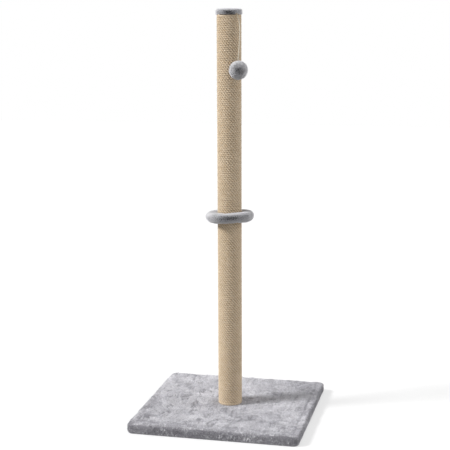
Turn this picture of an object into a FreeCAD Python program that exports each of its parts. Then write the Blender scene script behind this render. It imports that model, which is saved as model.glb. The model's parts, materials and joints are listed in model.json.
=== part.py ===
"""Cat scratching post: a plush-covered square base, a tall two-section post wound with sisal rope,
a stuffed plush ring round the joint of the sections, a plush cap and a ball that hangs from it.

Millimetres. +Z is up, +X runs along the base's front edge to the right, and the origin is the
centre of the base's underside, on the floor.
"""

import FreeCAD, Part
import math
import os
import Sketcher
from FreeCAD import Placement, Rotation, Vector

# Driving sizes, each set by itself. They fill the document's spreadsheet.
SIZES = {
    # base
    "base_side": 490.0,
    "board_thick": 18.0,
    "board_corner": 10.0,
    "plush_thick": 6.0,
    "plush_under": 4.0,
    "plush_turn": 40.0,
    "plush_edge": 8.0,
    "liner_thick": 1.5,
    "liner_gap": 2.0,
    "staple_crown": 10.0,
    "staple_leg": 6.0,
    "staple_wire": 0.8,
    "staple_below": 2.4,
    # post
    "section_length": 567.5,
    "tube_diameter": 58.0,
    "tube_wall": 4.0,
    "rope_diameter": 5.5,
    "rope_gap": 0.5,
    "plug_length": 30.0,
    "fit_gap": 0.05,
    # fasteners
    "bolt_diameter": 8.0,
    "bolt_length": 40.0,
    "bolt_head": 13.0,
    "bolt_head_high": 8.0,
    "socket_flats": 6.0,
    "socket_deep": 4.0,
    "bolt_hole": 9.0,
    "head_clearance": 1.0,
    "washer_outer": 24.0,
    "washer_thick": 2.0,
    "washer_play": 0.2,
    "insert_barrel": 11.0,
    "insert_length": 14.0,
    "stud_length": 56.0,
    "screw_diameter": 5.0,
    "screw_head": 10.0,
    "screw_head_high": 3.0,
    "screw_length": 38.0,
    "screw_play": 0.25,
    # stuffed ring
    "ring_lift": -5.0,
    "ring_wide": 35.15,
    "ring_thick": 33.0,
    "cover_thick": 3.0,
    "soft_gap": 0.35,
    # cap
    "cap_disc_inset": 2.0,
    "cap_disc_thick": 12.0,
    "cap_side_plush": 4.5,
    "cap_top_plush": 5.0,
    "cap_bevel": 1.5,
    "cap_foot": 2.0,
    # toy
    "ball_diameter": 52.0,
    "toy_drop": 154.0,
    "ball_bearing": -52.6,
    "cord_diameter": 3.0,
    "cord_bearing": -39.2,
    "knot_diameter": 5.0,
    "knot_high": 2.0,
    "knot_room": 6.0,
    "knot_headroom": 2.6,
    "cord_staple_crown": 5.0,
    "cord_staple_leg": 8.0,
}
ROPE_LOOPS = 5
BASE_STAPLES_PER_SIDE = 5
RING_PANELS = 28
RING_SECTION_PANELS = 10
CAP_PANELS = 28
BALL_PANELS = 16
BALL_BANDS = 8
KNOT_PANELS = 8
KNOT_BANDS = 5
SOCKET_TURN = 15  # degrees, so that no corner of the socket lies on an axis

# Sizes and heights that follow from the driving ones, as expressions on the spreadsheet.
BASE_TOP = "(dim.plush_under + dim.board_thick + dim.plush_thick)"
BOARD_HALF = "(dim.base_side / 2 - dim.plush_thick)"
OPENING_HALF = f"({BOARD_HALF} - dim.plush_turn)"
JOINT_HIGH = f"({BASE_TOP} + dim.section_length)"
POST_TOP = f"({JOINT_HIGH} + dim.section_length)"
BORE_RADIUS = "(dim.tube_diameter / 2 - dim.tube_wall)"
HEAD_ROOM = "(dim.bolt_head_high + dim.washer_thick + dim.head_clearance)"
HEAD_RADIUS = "(dim.washer_outer / 2 + dim.head_clearance)"
ROPE_PITCH = "(dim.rope_diameter + dim.rope_gap)"
POST_RADIUS = f"(dim.tube_diameter / 2 + {ROPE_PITCH})"
DISC_RADIUS = f"({POST_RADIUS} - dim.cap_disc_inset)"
RING_HIGH = f"({JOINT_HIGH} + dim.ring_lift)"

doc = FreeCAD.newDocument("scratching_post")
dim = doc.addObject("Spreadsheet::Sheet", "dim")


def fill_sheet():
    """One row a size: its name, its number and the number's alias."""
    for row, (name, number) in enumerate(SIZES.items(), start=1):
        dim.set(f"A{row}", name)
        dim.set(f"B{row}", str(number))
        dim.setAlias(f"B{row}", name)
    doc.recompute()


def value(expression):
    """The number that an expression on the spreadsheet gives."""
    return float(dim.evalExpression(expression.replace("dim.", "")))


# ---------------------------------------------------------------- sketches and features


def new_body(label):
    body = doc.addObject("PartDesign::Body", label)
    body.Label = label
    return body


def sketch_on(body, role, name, offset=None):
    """A sketch on one of the body's own origin planes, raised by offset."""
    sketch = body.newObject("Sketcher::SketchObject", f"{body.Label}_{name}")
    plane = next(o for o in body.Origin.OriginFeatures if o.Role == role)
    sketch.AttachmentSupport = [(plane, "")]
    sketch.MapMode = "FlatFace"
    if offset:
        sketch.setExpression("AttachmentOffset.Base.z", offset)
    return sketch


def pin(sketch, line, kind, expression, axis):
    """Holds the start of a line at a distance from an axis, or on it where that is 0."""
    if expression == "0":
        sketch.addConstraint(Sketcher.Constraint("PointOnObject", line, 1, axis))
        return
    number = sketch.addConstraint(Sketcher.Constraint(kind, line, 1, value(expression)))
    sketch.setExpression(f"Constraints[{number}]", expression)


def outline(body, role, name, corners, offset=None):
    """A closed outline of straight lines whose corners are pairs of expressions."""
    sketch = sketch_on(body, role, name, offset)
    places = [Vector(value(across), value(up), 0) for across, up in corners]
    last = len(places) - 1
    for line, place in enumerate(places):
        end = places[0] if line == last else places[line + 1]
        sketch.addGeometry(Part.LineSegment(place, end), False)
    for line, (across, up) in enumerate(corners):
        before = last if line == 0 else line - 1
        sketch.addConstraint(Sketcher.Constraint("Coincident", before, 2, line, 1))
        pin(sketch, line, "DistanceX", across, -2)
        pin(sketch, line, "DistanceY", up, -1)
    return sketch


def square(body, name, half, offset=None):
    """A square outline about the origin, from half its side."""
    corners = [(f"-{half}", f"-{half}"), (half, f"-{half}"), (half, half), (f"-{half}", half)]
    return outline(body, "XY_Plane", name, corners, offset)


def circle(body, name, radius, offset=None):
    """A circle about the origin."""
    sketch = sketch_on(body, "XY_Plane", name, offset)
    sketch.addGeometry(Part.Circle(Vector(), Vector(0, 0, 1), value(radius)), False)
    sketch.addConstraint(Sketcher.Constraint("Coincident", 0, 3, -1, 1))
    number = sketch.addConstraint(Sketcher.Constraint("Radius", 0, value(radius)))
    sketch.setExpression(f"Constraints[{number}]", radius)
    return sketch


def pad(body, sketch, length):
    feature = body.newObject("PartDesign::Pad", f"{sketch.Label}_pad")
    feature.Profile = sketch
    feature.setExpression("Length", length)
    doc.recompute()
    return feature


def pocket(body, sketch, depth):
    """Cuts upwards from the sketch, and checks that something was cut."""
    before = body.Shape.Volume
    feature = body.newObject("PartDesign::Pocket", f"{sketch.Label}_pocket")
    feature.Profile = sketch
    feature.Reversed = True
    feature.setExpression("Length", depth)
    doc.recompute()
    assert body.Shape.Volume < before, f"{sketch.Label} cuts nothing"
    return feature


def round_edges(body, name, radius, wanted):
    """A fillet along the edges of the body that wanted picks."""
    base = body.Tip
    edges = [f"Edge{i}" for i, edge in enumerate(base.Shape.Edges, start=1) if wanted(edge)]
    feature = body.newObject("PartDesign::Fillet", f"{body.Label}_{name}")
    feature.Base = (base, edges)
    feature.setExpression("Radius", radius)
    doc.recompute()
    return feature


def is_upright(edge):
    return abs(edge.tangentAt(edge.FirstParameter).z) > 0.99


def turned(label, corners):
    """A body turned about Z from an outline of radius and height pairs."""
    body = new_body(label)
    sketch = outline(body, "XZ_Plane", "outline", corners)
    feature = body.newObject("PartDesign::Revolution", f"{label}_turned")
    feature.Profile = sketch
    feature.ReferenceAxis = (sketch, ["V_Axis"])
    feature.Angle = 360
    doc.recompute()
    return body


def place(item, height):
    """Stands an item at a height on the post's axis."""
    item.setExpression("Placement.Base.z", height)


def pipe(label, outer_radius, inner_radius, length, height):
    """A round tube, as one cylinder cut from another."""
    parts = []
    for name, radius in (("outside", outer_radius), ("bore", inner_radius)):
        part = doc.addObject("Part::Cylinder", f"{label}_{name}")
        part.setExpression("Radius", radius)
        part.setExpression("Height", length)
        parts.append(part)
    cut = doc.addObject("Part::Cut", label)
    cut.Label = label
    cut.Base, cut.Tool = parts
    place(cut, height)
    return cut


def plain(label, shape):
    """A document object that holds a shape worked out from the sheet."""
    item = doc.addObject("Part::Feature", label)
    item.Label = label
    item.Shape = shape
    return item


# ---------------------------------------------------------------- soft shapes in flat panels


def panelled(profile, panels, closed):
    """A solid of flat panels: a profile of radius and height pairs stepped round the Z axis.

    An open profile starts and ends in a flat end face, and a closed one makes a ring.
    """
    angles = [2 * math.pi * i / panels for i in range(panels)]
    rings = [[Vector(r * math.cos(a), r * math.sin(a), z) for a in angles] for r, z in profile]
    faces = []
    for j in range(len(rings) if closed else len(rings) - 1):
        low, high = rings[j], rings[(j + 1) % len(rings)]
        for i in range(panels):
            k = (i + 1) % panels
            corners = [low[i], low[k], high[k], high[i], low[i]]
            faces.append(Part.Face(Part.makePolygon(corners)))
    if not closed:
        for ring in (rings[0], rings[-1]):
            faces.append(Part.Face(Part.makePolygon(ring + ring[:1])))
    solid = Part.Solid(Part.Shell(faces))
    if solid.Volume < 0:
        solid.reverse()
    return solid


def panelled_ball(diameter, panels, bands):
    """A ball about the origin, with a small flat at each end of its Z axis."""
    step = math.pi / (bands + 1)
    slants = [-math.pi / 2 + step * (i + 0.5) for i in range(bands + 1)]
    radius = diameter / 2
    end = radius * math.cos(slants[0])
    profile = [(radius * math.cos(s), radius * math.sin(s)) for s in slants]
    profile[0], profile[-1] = (end, -radius), (end, radius)
    return panelled(profile, panels, closed=False)


def ring_profile(inner_radius, outer_radius, thick):
    """An oval section with RING_SECTION_PANELS corners, centred on the ring's middle plane."""
    across, high = (outer_radius - inner_radius) / 2, thick / 2
    middle = (outer_radius + inner_radius) / 2
    turns = [2 * math.pi * (i + 0.5) / RING_SECTION_PANELS for i in range(RING_SECTION_PANELS)]
    widest = math.cos(math.pi / RING_SECTION_PANELS)
    return [(middle + across * math.cos(t) / widest, high * math.sin(t) / widest) for t in turns]


# ---------------------------------------------------------------- base


def make_base_board():
    """The square board, counterbored from below for the bolt's head and washer."""
    body = new_body("base_board")
    pad(body, square(body, "edge", BOARD_HALF, "dim.plush_under"), "dim.board_thick")
    round_edges(body, "corners", "dim.board_corner", is_upright)
    head = circle(body, "head", HEAD_RADIUS, "dim.plush_under")
    pocket(body, head, HEAD_ROOM)
    hole = circle(body, "hole", "(dim.bolt_hole / 2)", "dim.plush_under")
    pocket(body, hole, "dim.board_thick")
    return body


def make_base_cover():
    """The plush over the board's top and sides, turned under it along every side."""
    body = new_body("base_cover")
    pad(body, square(body, "edge", "(dim.base_side / 2)"), BASE_TOP)
    round_edges(body, "corners", "(dim.board_corner + dim.plush_thick)", is_upright)
    top = value(BASE_TOP)
    round_edges(body, "top_edge", "dim.plush_edge", lambda edge: edge.BoundBox.ZMin > top - 0.1)
    cavity = square(body, "cavity", BOARD_HALF, "dim.plush_under")
    pocket(body, cavity, "dim.board_thick")
    pocket(body, square(body, "opening", OPENING_HALF), "dim.plush_under")
    pocket(body, circle(body, "hole", "(dim.bolt_hole / 2)"), BASE_TOP)
    return body


def make_base_liner():
    """The thin sheet on the board's underside, inside the plush's turned edge."""
    body = new_body("base_liner")
    height = "(dim.plush_under - dim.liner_thick)"
    half = f"({OPENING_HALF} - dim.liner_gap)"
    pad(body, square(body, "edge", half, height), "dim.liner_thick")
    pocket(body, circle(body, "hole", HEAD_RADIUS, height), "dim.liner_thick")
    return body


def staple(crown, leg, wire):
    """A staple whose crown lies along X at height 0 and whose legs point up."""
    half = crown / 2
    corners = [(-half, 0), (half, 0), (half, leg), (half - wire, leg), (half - wire, wire)]
    corners += [(wire - half, wire), (wire - half, leg), (-half, leg), (-half, 0)]
    face = Part.Face(Part.makePolygon([Vector(x, -wire / 2, z) for x, z in corners]))
    return face.extrude(Vector(0, wire, 0))


def make_base_staples():
    """A row of staples along each side holds the turned edge to the board."""
    crown, leg, wire = value("dim.staple_crown"), value("dim.staple_leg"), value("dim.staple_wire")
    row_at = value(BOARD_HALF) - value("dim.plush_turn") / 2
    spacing = 2 * row_at / BASE_STAPLES_PER_SIDE
    height = value("dim.plush_under - dim.staple_below")
    staples = []
    for side in range(4):
        for i in range(BASE_STAPLES_PER_SIDE):
            one = staple(crown, leg, wire)
            along = spacing * (i + 0.5) - row_at
            one.translate(Vector(along, row_at, height))
            one.rotate(Vector(), Vector(0, 0, 1), 90 * side)
            staples.append(one)
    return plain("base_staples", Part.makeCompound(staples))


# ---------------------------------------------------------------- post


def make_tubes():
    """The two cardboard tubes, one on the other."""
    for label, height in (("lower_tube", BASE_TOP), ("upper_tube", JOINT_HIGH)):
        pipe(label, "(dim.tube_diameter / 2)", BORE_RADIUS, "dim.section_length", height)


def make_plugs():
    """Wooden plugs close both ends of each tube. Three are bored for a threaded insert and the
    topmost for the cap's screw. The two plugs of a tube share one node."""
    edge = f"({BORE_RADIUS} - dim.fit_gap)"
    insert_hole = "(dim.insert_barrel / 2 + dim.fit_gap)"
    screw_hole = "(dim.screw_diameter / 2 + dim.fit_gap)"
    from_head = "- dim.plug_length)"
    for label, foot, head, head_hole in (
        ("lower_tube_plugs", BASE_TOP, JOINT_HIGH, insert_hole),
        ("upper_tube_plugs", JOINT_HIGH, POST_TOP, screw_hole),
    ):
        foot_plug = pipe(f"{label}_foot", edge, insert_hole, "dim.plug_length", foot)
        head_plug = pipe(f"{label}_head", edge, head_hole, "dim.plug_length", f"({head} {from_head}")
        pair = doc.addObject("Part::Compound", label)
        pair.Label = label
        pair.Links = [foot_plug, head_plug]


def make_inserts():
    """Three threaded sleeves, each pressed into its plug flush with the face that meets its mate."""
    radius, length = "(dim.insert_barrel / 2)", "dim.insert_length"
    hole = "(dim.bolt_diameter / 2 + dim.fit_gap)"
    inserts = []
    for name, foot in (
        ("base", BASE_TOP),
        ("below_joint", f"({JOINT_HIGH} - dim.insert_length)"),
        ("above_joint", JOINT_HIGH),
    ):
        inserts.append(pipe(f"insert_{name}", radius, hole, length, foot))
    group = doc.addObject("Part::Compound", "threaded_inserts")
    group.Label = "threaded_inserts"
    group.Links = inserts


def rope_path(radius, low, pitch, loops, lead):
    """A right-handed helix in arcs of half a turn, with a straight lead at each end."""
    edges = []
    for half_turn in range(2 * loops):
        ends = []
        for part in (0.0, 0.5, 1.0):
            turn = (half_turn + part) / 2
            angle = 2 * math.pi * turn
            ends.append(Vector(radius * math.cos(angle), radius * math.sin(angle), low + pitch * turn))
        edges.append(Part.Arc(*ends).toShape())
    first, last = edges[0], edges[-1]
    start = first.valueAt(first.FirstParameter)
    back = first.tangentAt(first.FirstParameter) * -lead
    end = last.valueAt(last.LastParameter)
    on = last.tangentAt(last.LastParameter) * lead
    edges.insert(0, Part.makeLine(start + back, start))
    edges.append(Part.makeLine(end, end + on))
    return Part.Wire(edges)


def rope_tube(path, diameter, sides=6):
    """A rope along a path, with a section of a few flat sides."""
    start = path.Edges[0].valueAt(path.Edges[0].FirstParameter)
    ahead = path.Edges[0].tangentAt(path.Edges[0].FirstParameter)
    out = Vector(start.x, start.y, 0).normalize()
    up = ahead.cross(out)
    turns = [2 * math.pi * (i + 0.5) / sides for i in range(sides)]
    reach = diameter / 2
    corners = [start + out * (reach * math.cos(t)) + up * (reach * math.sin(t)) for t in turns]
    shell = Part.BRepOffsetAPI.MakePipeShell(path)
    shell.add(Part.makePolygon(corners + corners[:1]))
    shell.build()
    shell.makeSolid()
    return shell.shape()


def least_gap(path, diameter, half_loop):
    """The least gap between a rope's loops, measured on points of its path half a loop or more apart."""
    spacing = 2.0
    points = path.discretize(Distance=spacing)
    apart = int(half_loop / spacing)
    least = min(a.distanceToPoint(b) for i, a in enumerate(points) for b in points[i + apart:])
    return least - diameter


def make_wraps():
    """Sisal rope wound on each tube. The end loops that show are turned, and a sleeve of the same
    outer size stands for the close loops between them and the joint of the two sections."""
    pitch, thick, gap = value(ROPE_PITCH), value("dim.rope_diameter"), value("dim.rope_gap")
    outer, inner = value(POST_RADIUS), value("dim.tube_diameter / 2")
    radius = outer - thick / 2
    wound = pitch * ROPE_LOOPS + thick + 2 * gap
    length = value("dim.section_length") - wound
    for label, foot, loops_first in (
        ("lower_sisal_wrap", value(BASE_TOP), True),
        ("upper_sisal_wrap", value(JOINT_HIGH), False),
    ):
        loops_low = foot if loops_first else foot + length
        sleeve_low = foot + wound if loops_first else foot
        path = rope_path(radius, loops_low + thick / 2 + gap, pitch, ROPE_LOOPS, thick)
        rope = rope_tube(path, thick)
        sleeve = Part.makeCylinder(outer, length, Vector(0, 0, sleeve_low))
        sleeve = sleeve.cut(Part.makeCylinder(inner, length, Vector(0, 0, sleeve_low)))
        print(f"{label}: least gap between loops {least_gap(path, thick, math.pi * radius):.2f} mm")
        plain(label, Part.makeCompound([sleeve, rope]))


# ---------------------------------------------------------------- fasteners


def make_base_bolt():
    """A cap-head bolt driven up from below, with a hexagon socket in its head."""
    head, shank = "(dim.bolt_head / 2)", "(dim.bolt_diameter / 2)"
    neck = "dim.bolt_head_high"
    tip = "(dim.bolt_head_high + dim.bolt_length)"
    body = turned(
        "base_bolt",
        [
            ("0", "0"),
            (head, "0"),
            (head, neck),
            (shank, neck),
            (shank, tip),
            ("0", tip),
        ],
    )
    reach = "dim.socket_flats / sqrt(3)"
    corners = []
    for i in range(6):
        turn = 60 * i + SOCKET_TURN
        corners.append((f"({reach} * cos({turn}))", f"({reach} * sin({turn}))"))
    pocket(body, outline(body, "XY_Plane", "socket", corners), "dim.socket_deep")
    place(body, f"(dim.plush_under + {HEAD_ROOM} - dim.washer_thick - dim.bolt_head_high)")


def make_base_washer():
    height = f"(dim.plush_under + {HEAD_ROOM} - dim.washer_thick)"
    hole = "(dim.bolt_diameter / 2 + dim.washer_play)"
    pipe("base_washer", "(dim.washer_outer / 2)", hole, "dim.washer_thick", height)


def make_joining_stud():
    """A headless threaded rod, half in the lower section and half in the upper one."""
    stud = doc.addObject("Part::Cylinder", "joining_stud")
    stud.Label = "joining_stud"
    stud.setExpression("Radius", "dim.bolt_diameter / 2")
    stud.setExpression("Height", "dim.stud_length")
    place(stud, f"({JOINT_HIGH} - dim.stud_length / 2)")


# ---------------------------------------------------------------- stuffed ring


def make_ring():
    """The stuffing and its plush cover. The cover's inner panels stay a soft gap off the rope."""
    clear = value(f"{POST_RADIUS} + dim.soft_gap")
    inner = clear / math.cos(math.pi / RING_PANELS)
    outer = clear + value("dim.ring_wide")
    thick, wall = value("dim.ring_thick"), value("dim.cover_thick")
    cover = panelled(ring_profile(inner, outer, thick), RING_PANELS, closed=True)
    inside = ring_profile(inner + wall, outer - wall, thick - 2 * wall)
    stuffing = panelled(inside, RING_PANELS, closed=True)
    for label, shape in (("ring_stuffing", stuffing), ("ring_cover", cover.cut(stuffing))):
        item = plain(label, shape)
        place(item, RING_HIGH)


# ---------------------------------------------------------------- cap


def cord_pivot():
    """The middle of the cord's knot, under the cap's rim and just clear of the rope."""
    clear = value("dim.cord_diameter / 2 + dim.soft_gap")
    out = Rotation(Vector(0, 0, 1), value("dim.cord_bearing")).multVec(Vector(1, 0, 0))
    return out * (value(POST_RADIUS) + clear) + Vector(0, 0, value(f"{POST_TOP} + dim.knot_high"))


def make_cap_disc():
    """The cap's wooden disc, counterbored for its screw."""
    hole = "(dim.screw_diameter / 2 + dim.screw_play)"
    head = "(dim.screw_head / 2 + dim.screw_play)"
    neck = "(dim.cap_disc_thick - dim.screw_head_high)"
    body = turned(
        "cap_disc",
        [
            (hole, "0"),
            (DISC_RADIUS, "0"),
            (DISC_RADIUS, "dim.cap_disc_thick"),
            (head, "dim.cap_disc_thick"),
            (head, neck),
            (hole, neck),
        ],
    )
    place(body, POST_TOP)


def make_cap_screw():
    """A flat-headed screw through the disc into the upper plug."""
    shank, head = "(dim.screw_diameter / 2)", "(dim.screw_head / 2)"
    neck = "(dim.screw_length - dim.screw_head_high)"
    body = turned(
        "cap_screw",
        [
            ("0", "0"),
            (shank, "0"),
            (shank, neck),
            (head, neck),
            (head, "dim.screw_length"),
            ("0", "dim.screw_length"),
        ],
    )
    place(body, f"({POST_TOP} + dim.cap_disc_thick - dim.screw_length)")


def make_cap_cover():
    """The plush cap: a soft-edged top and skirt, hollow for the disc and notched for the knot."""
    disc, soft = value(DISC_RADIUS), value("dim.cap_top_plush")
    outer = (disc + value("dim.cap_side_plush")) / math.cos(math.pi / CAP_PANELS)
    high, bevel = value("dim.cap_disc_thick + dim.cap_top_plush"), value("dim.cap_bevel")
    profile = [
        (outer - bevel, 0),
        (outer, value("dim.cap_foot")),
        (outer, high - soft),
        (outer - bevel, high - bevel),
        (outer - soft, high),
    ]
    cover = panelled(profile, CAP_PANELS, closed=False)
    cover = cover.cut(Part.makeCylinder(disc, value("dim.cap_disc_thick")))
    pivot = cord_pivot()
    notch_high = value("dim.knot_high + dim.knot_diameter / 2 + dim.knot_headroom")
    notch = Part.makeCylinder(value("dim.knot_room / 2"), notch_high, Vector(pivot.x, pivot.y, 0))
    item = plain("cap_cover", cover.cut(notch))
    place(item, POST_TOP)


def make_cord_staple():
    """Driven into the disc's rim just above the knot, with the cord looped over its crown."""
    wire = value("dim.staple_wire")
    pivot = cord_pivot()
    above = pivot.z + value("dim.knot_diameter / 2") + wire
    outermost = math.hypot(pivot.x, pivot.y) - value("dim.soft_gap")
    one = staple(value("dim.cord_staple_crown"), value("dim.cord_staple_leg"), wire)
    one.rotate(Vector(), Vector(0, 0, 1), 90)
    one.rotate(Vector(), Vector(0, 1, 0), -90)
    one.translate(Vector(outermost, 0, above))
    one.rotate(Vector(), Vector(0, 0, 1), value("dim.cord_bearing"))
    return plain("cord_staple", one)


# ---------------------------------------------------------------- toy


def ball_centre():
    """The ball leans on the rope, its bearing seen from above."""
    reach = value(f"{POST_RADIUS} + dim.ball_diameter / 2 + dim.soft_gap")
    out = Rotation(Vector(0, 0, 1), value("dim.ball_bearing")).multVec(Vector(1, 0, 0))
    return out * reach + Vector(0, 0, cord_pivot().z - value("dim.toy_drop"))


def make_toy():
    """The knot under the cap, the straight hanging cord and the plush-covered ball."""
    pivot, centre = cord_pivot(), ball_centre()
    down = (centre - pivot).normalize()
    lie = Rotation(Vector(0, 0, 1), down * -1)
    start = pivot + down * value("dim.knot_diameter / 2 + dim.soft_gap")
    end = centre - down * value("dim.ball_diameter / 2")
    knot = plain("cord_knot", panelled_ball(value("dim.knot_diameter"), KNOT_PANELS, KNOT_BANDS))
    knot.Placement = Placement(pivot, lie)
    cord = doc.addObject("Part::Cylinder", "toy_cord")
    cord.Label = "toy_cord"
    cord.setExpression("Radius", "dim.cord_diameter / 2")
    cord.Height = start.distanceToPoint(end)
    cord.Placement = Placement(end, lie)
    print(f"cord: {cord.Height.Value:.1f} mm, straight, from {start} to {end}")
    cover = panelled_ball(value("dim.ball_diameter"), BALL_PANELS, BALL_BANDS)
    core = panelled_ball(value("dim.ball_diameter - 2 * dim.cover_thick"), BALL_PANELS, BALL_BANDS)
    for label, shape in (("ball_core", core), ("ball_cover", cover.cut(core))):
        item = plain(label, shape)
        item.Placement = Placement(centre, lie)


# ---------------------------------------------------------------- the whole post

NODES = (
    "base_board",
    "base_cover",
    "base_liner",
    "base_staples",
    "base_bolt",
    "base_washer",
    "lower_tube",
    "upper_tube",
    "lower_tube_plugs",
    "upper_tube_plugs",
    "threaded_inserts",
    "joining_stud",
    "lower_sisal_wrap",
    "upper_sisal_wrap",
    "ring_stuffing",
    "ring_cover",
    "cap_disc",
    "cap_screw",
    "cap_cover",
    "cord_staple",
    "cord_knot",
    "toy_cord",
    "ball_core",
    "ball_cover",
)


def build():
    fill_sheet()
    for make in (
        make_base_board,
        make_base_cover,
        make_base_liner,
        make_base_staples,
        make_base_bolt,
        make_base_washer,
        make_tubes,
        make_plugs,
        make_inserts,
        make_joining_stud,
        make_wraps,
        make_ring,
        make_cap_disc,
        make_cap_screw,
        make_cap_cover,
        make_cord_staple,
        make_toy,
    ):
        make()
    doc.recompute()


def check_and_write():
    """Every object has to be sound before any file is written."""
    failed = [o.Label for o in doc.Objects if {"Invalid", "Error"} & set(o.State)]
    assert not failed, f"failed objects: {failed}"
    items = {o.Label: o for o in doc.Objects}
    for label in NODES:
        shape = items[label].Shape
        assert not shape.isNull() and shape.isValid(), f"{label} has no sound shape"
        assert shape.Solids, f"{label} holds no solid"
    os.makedirs("parts", exist_ok=True)
    for label in NODES:
        items[label].Shape.exportStep(f"parts/{label}.step")


build()
check_and_write()
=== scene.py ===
"""Cat scratching post: its plush, sisal, cord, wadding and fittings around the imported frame.

Metres, +Z up, the origin at the centre of the base's underside. Every new piece is a surface of two
parameters, worked out on a grid, or a pile of short closed fibres that stand on one. Every finish is a
procedural material.
"""

import json
import math

import bpy
import numpy as np
from bpy.props import FloatProperty, FloatVectorProperty, IntProperty, PointerProperty
from mathutils import Matrix, Vector


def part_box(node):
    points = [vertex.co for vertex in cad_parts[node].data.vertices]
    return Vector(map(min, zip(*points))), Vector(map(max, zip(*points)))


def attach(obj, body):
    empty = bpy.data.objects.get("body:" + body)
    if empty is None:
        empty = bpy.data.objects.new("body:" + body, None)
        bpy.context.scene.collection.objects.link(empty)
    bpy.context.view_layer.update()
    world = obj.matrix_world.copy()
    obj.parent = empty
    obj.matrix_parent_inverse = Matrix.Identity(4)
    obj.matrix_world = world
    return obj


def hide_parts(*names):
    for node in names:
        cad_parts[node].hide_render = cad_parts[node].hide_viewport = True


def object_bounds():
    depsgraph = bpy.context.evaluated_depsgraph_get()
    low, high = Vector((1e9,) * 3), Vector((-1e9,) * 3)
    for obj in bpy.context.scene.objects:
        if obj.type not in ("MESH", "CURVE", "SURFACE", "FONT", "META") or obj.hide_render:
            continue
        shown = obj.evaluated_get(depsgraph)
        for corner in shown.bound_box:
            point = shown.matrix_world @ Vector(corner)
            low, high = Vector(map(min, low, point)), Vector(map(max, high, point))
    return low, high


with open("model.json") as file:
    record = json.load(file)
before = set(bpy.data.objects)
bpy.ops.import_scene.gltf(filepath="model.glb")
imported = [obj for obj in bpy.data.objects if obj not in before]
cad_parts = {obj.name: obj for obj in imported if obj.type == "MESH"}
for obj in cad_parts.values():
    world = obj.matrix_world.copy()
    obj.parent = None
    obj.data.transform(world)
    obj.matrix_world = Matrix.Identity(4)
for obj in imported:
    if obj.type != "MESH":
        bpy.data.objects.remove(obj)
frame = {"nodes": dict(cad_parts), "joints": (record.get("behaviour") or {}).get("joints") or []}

bl_info = {
    "name": "Cat scratching post",
    "version": (1, 0, 0),
    "blender": (4, 5, 0),
    "location": "View3D > Sidebar > Scratching post",
    "description": "Builds the plush, sisal and cord of a scratching post around its frame",
    "category": "Object",
}

CAD_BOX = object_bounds()
TURN = 2 * math.pi
JOINTS = {joint["name"]: joint for joint in frame["joints"]}
SECTIONS = {"lower_sisal_wrap": "lower", "upper_sisal_wrap": "upper"}
POST_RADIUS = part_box("lower_sisal_wrap")[1].x
TUBE_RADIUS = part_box("lower_tube")[1].x
KNOT_CENTRE = Vector(JOINTS["toy_swing"]["pos_m"])
BALL_CENTRE = sum(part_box("ball_cover"), Vector()) / 2

# Painted light and shade in the pile: lighter at its tips and darker at its roots, and painted shade on
# the cloth under it, on the base and, darker still, on the trims.
TIP_PAINTED_LIGHT, ROOT_PAINTED_SHADE, SKIN_PAINTED_SHADE, DEEP_PAINTED_SHADE = 0.45, -0.4, -0.9, -1.5
# Lengths of the trims' pile, half its fibres' width, and how far the plush keeps from the rope.
RING_PILE, CAP_PILE, BALL_PILE = 0.0052, 0.0038, 0.0060
RING_THICK, CAP_THICK, BALL_THICK = 0.00026, 0.00024, 0.00019
ROPE_CLEAR = 0.0006
# How deep light enters a fibre.
FIBRE_DEPTH = 0.0003
# The scale on which the base's marks are drawn, so that they are longer from front to back.
BRUSHED = np.array([1.0, 0.45, 1.0])

# Seeds. A function may also take the numbers after the one that it is given.
ROPE_SEED, TUFT_SEED, WANDER_SEED, FADE_SEED, NAP_SEED, MARK_SEED, LEAN_SEED = 5, 11, 41, 51, 60, 70, 80
SCATTER_SEED, FIBRE_SEED, RING_SEED, CAP_SEED, BALL_SEED, STRAY_SEED = 70, 90, 100, 120, 140, 160
# Ripples that are added up: the height or share of each, its size and its seed.
BASE_SWIRLS = ((0.0009, 0.045, 21), (0.0006, 0.022, 31))
BASE_PATCHES = ((0.22, 0.10, NAP_SEED + 4), (0.16, 0.034, NAP_SEED + 5), (0.22, 0.012, NAP_SEED + 6))
RING_LUMPS = ((0.0009, 0.05, RING_SEED + 1), (0.0006, 0.02, RING_SEED + 2))

# The pressed lines' widths beside the side edges and beside the front and back ones, and their strength
# at each edge.
SIDE_LINE, FRONT_LINE = 0.0034, 0.0075
RIGHT_PRESS, LEFT_PRESS, FRONT_PRESS, BACK_PRESS = 1.1, 0.5, 0.9, 0.2
# The crease at the back left and its hook: a point on each, its slant there and its width; then the
# stretches of depth in which the crease begins and ends, and the hook's middle and half its length.
FOLD_PLACE, FOLD_SLANT, FOLD_WIDTH = (-0.162, 0.21), 0.12, 0.0028
HOOK_PLACE, HOOK_SLANT, HOOK_WIDTH = (-0.15, 0.168), 0.35, 0.003
FOLD_START, FOLD_END = (0.165, 0.18), (0.236, 0.242)
HOOK_MIDDLE, HOOK_HALF = -0.145, 0.013

# Strands in a rope or cord, and how deep the lines between them are cut in sisal and in cotton.
STRANDS = 3
SISAL_CUT, COTTON_CUT = 0.42, 0.24
CORD_LAY, KNOT_LAY = 0.0075, 0.005
# The angle at which each section's rope starts, and the unevenness of its turns, up and outwards: the
# height of each wave, how many go to a turn and where it starts.
ROPE_START = 0.29 * TURN
ROPE_RISE = ((0.00012, 0.37, 1.0), (0.00008, 1.7, 0.0))
ROPE_SWAY = ((0.00008, 2.3, 0.0),)
HAIR_THICK = 0.00008
# The ring's rise towards the right and towards the front, for each metre.
TILT_RIGHT, TILT_FRONT = 0.029, 0.043
# The knot's cord against half its height, and the trefoil's reach and stretched depth.
KNOT_THICK, TREFOIL_REACH, TREFOIL_DEPTH = 0.38, 3.0, 1.3

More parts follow.
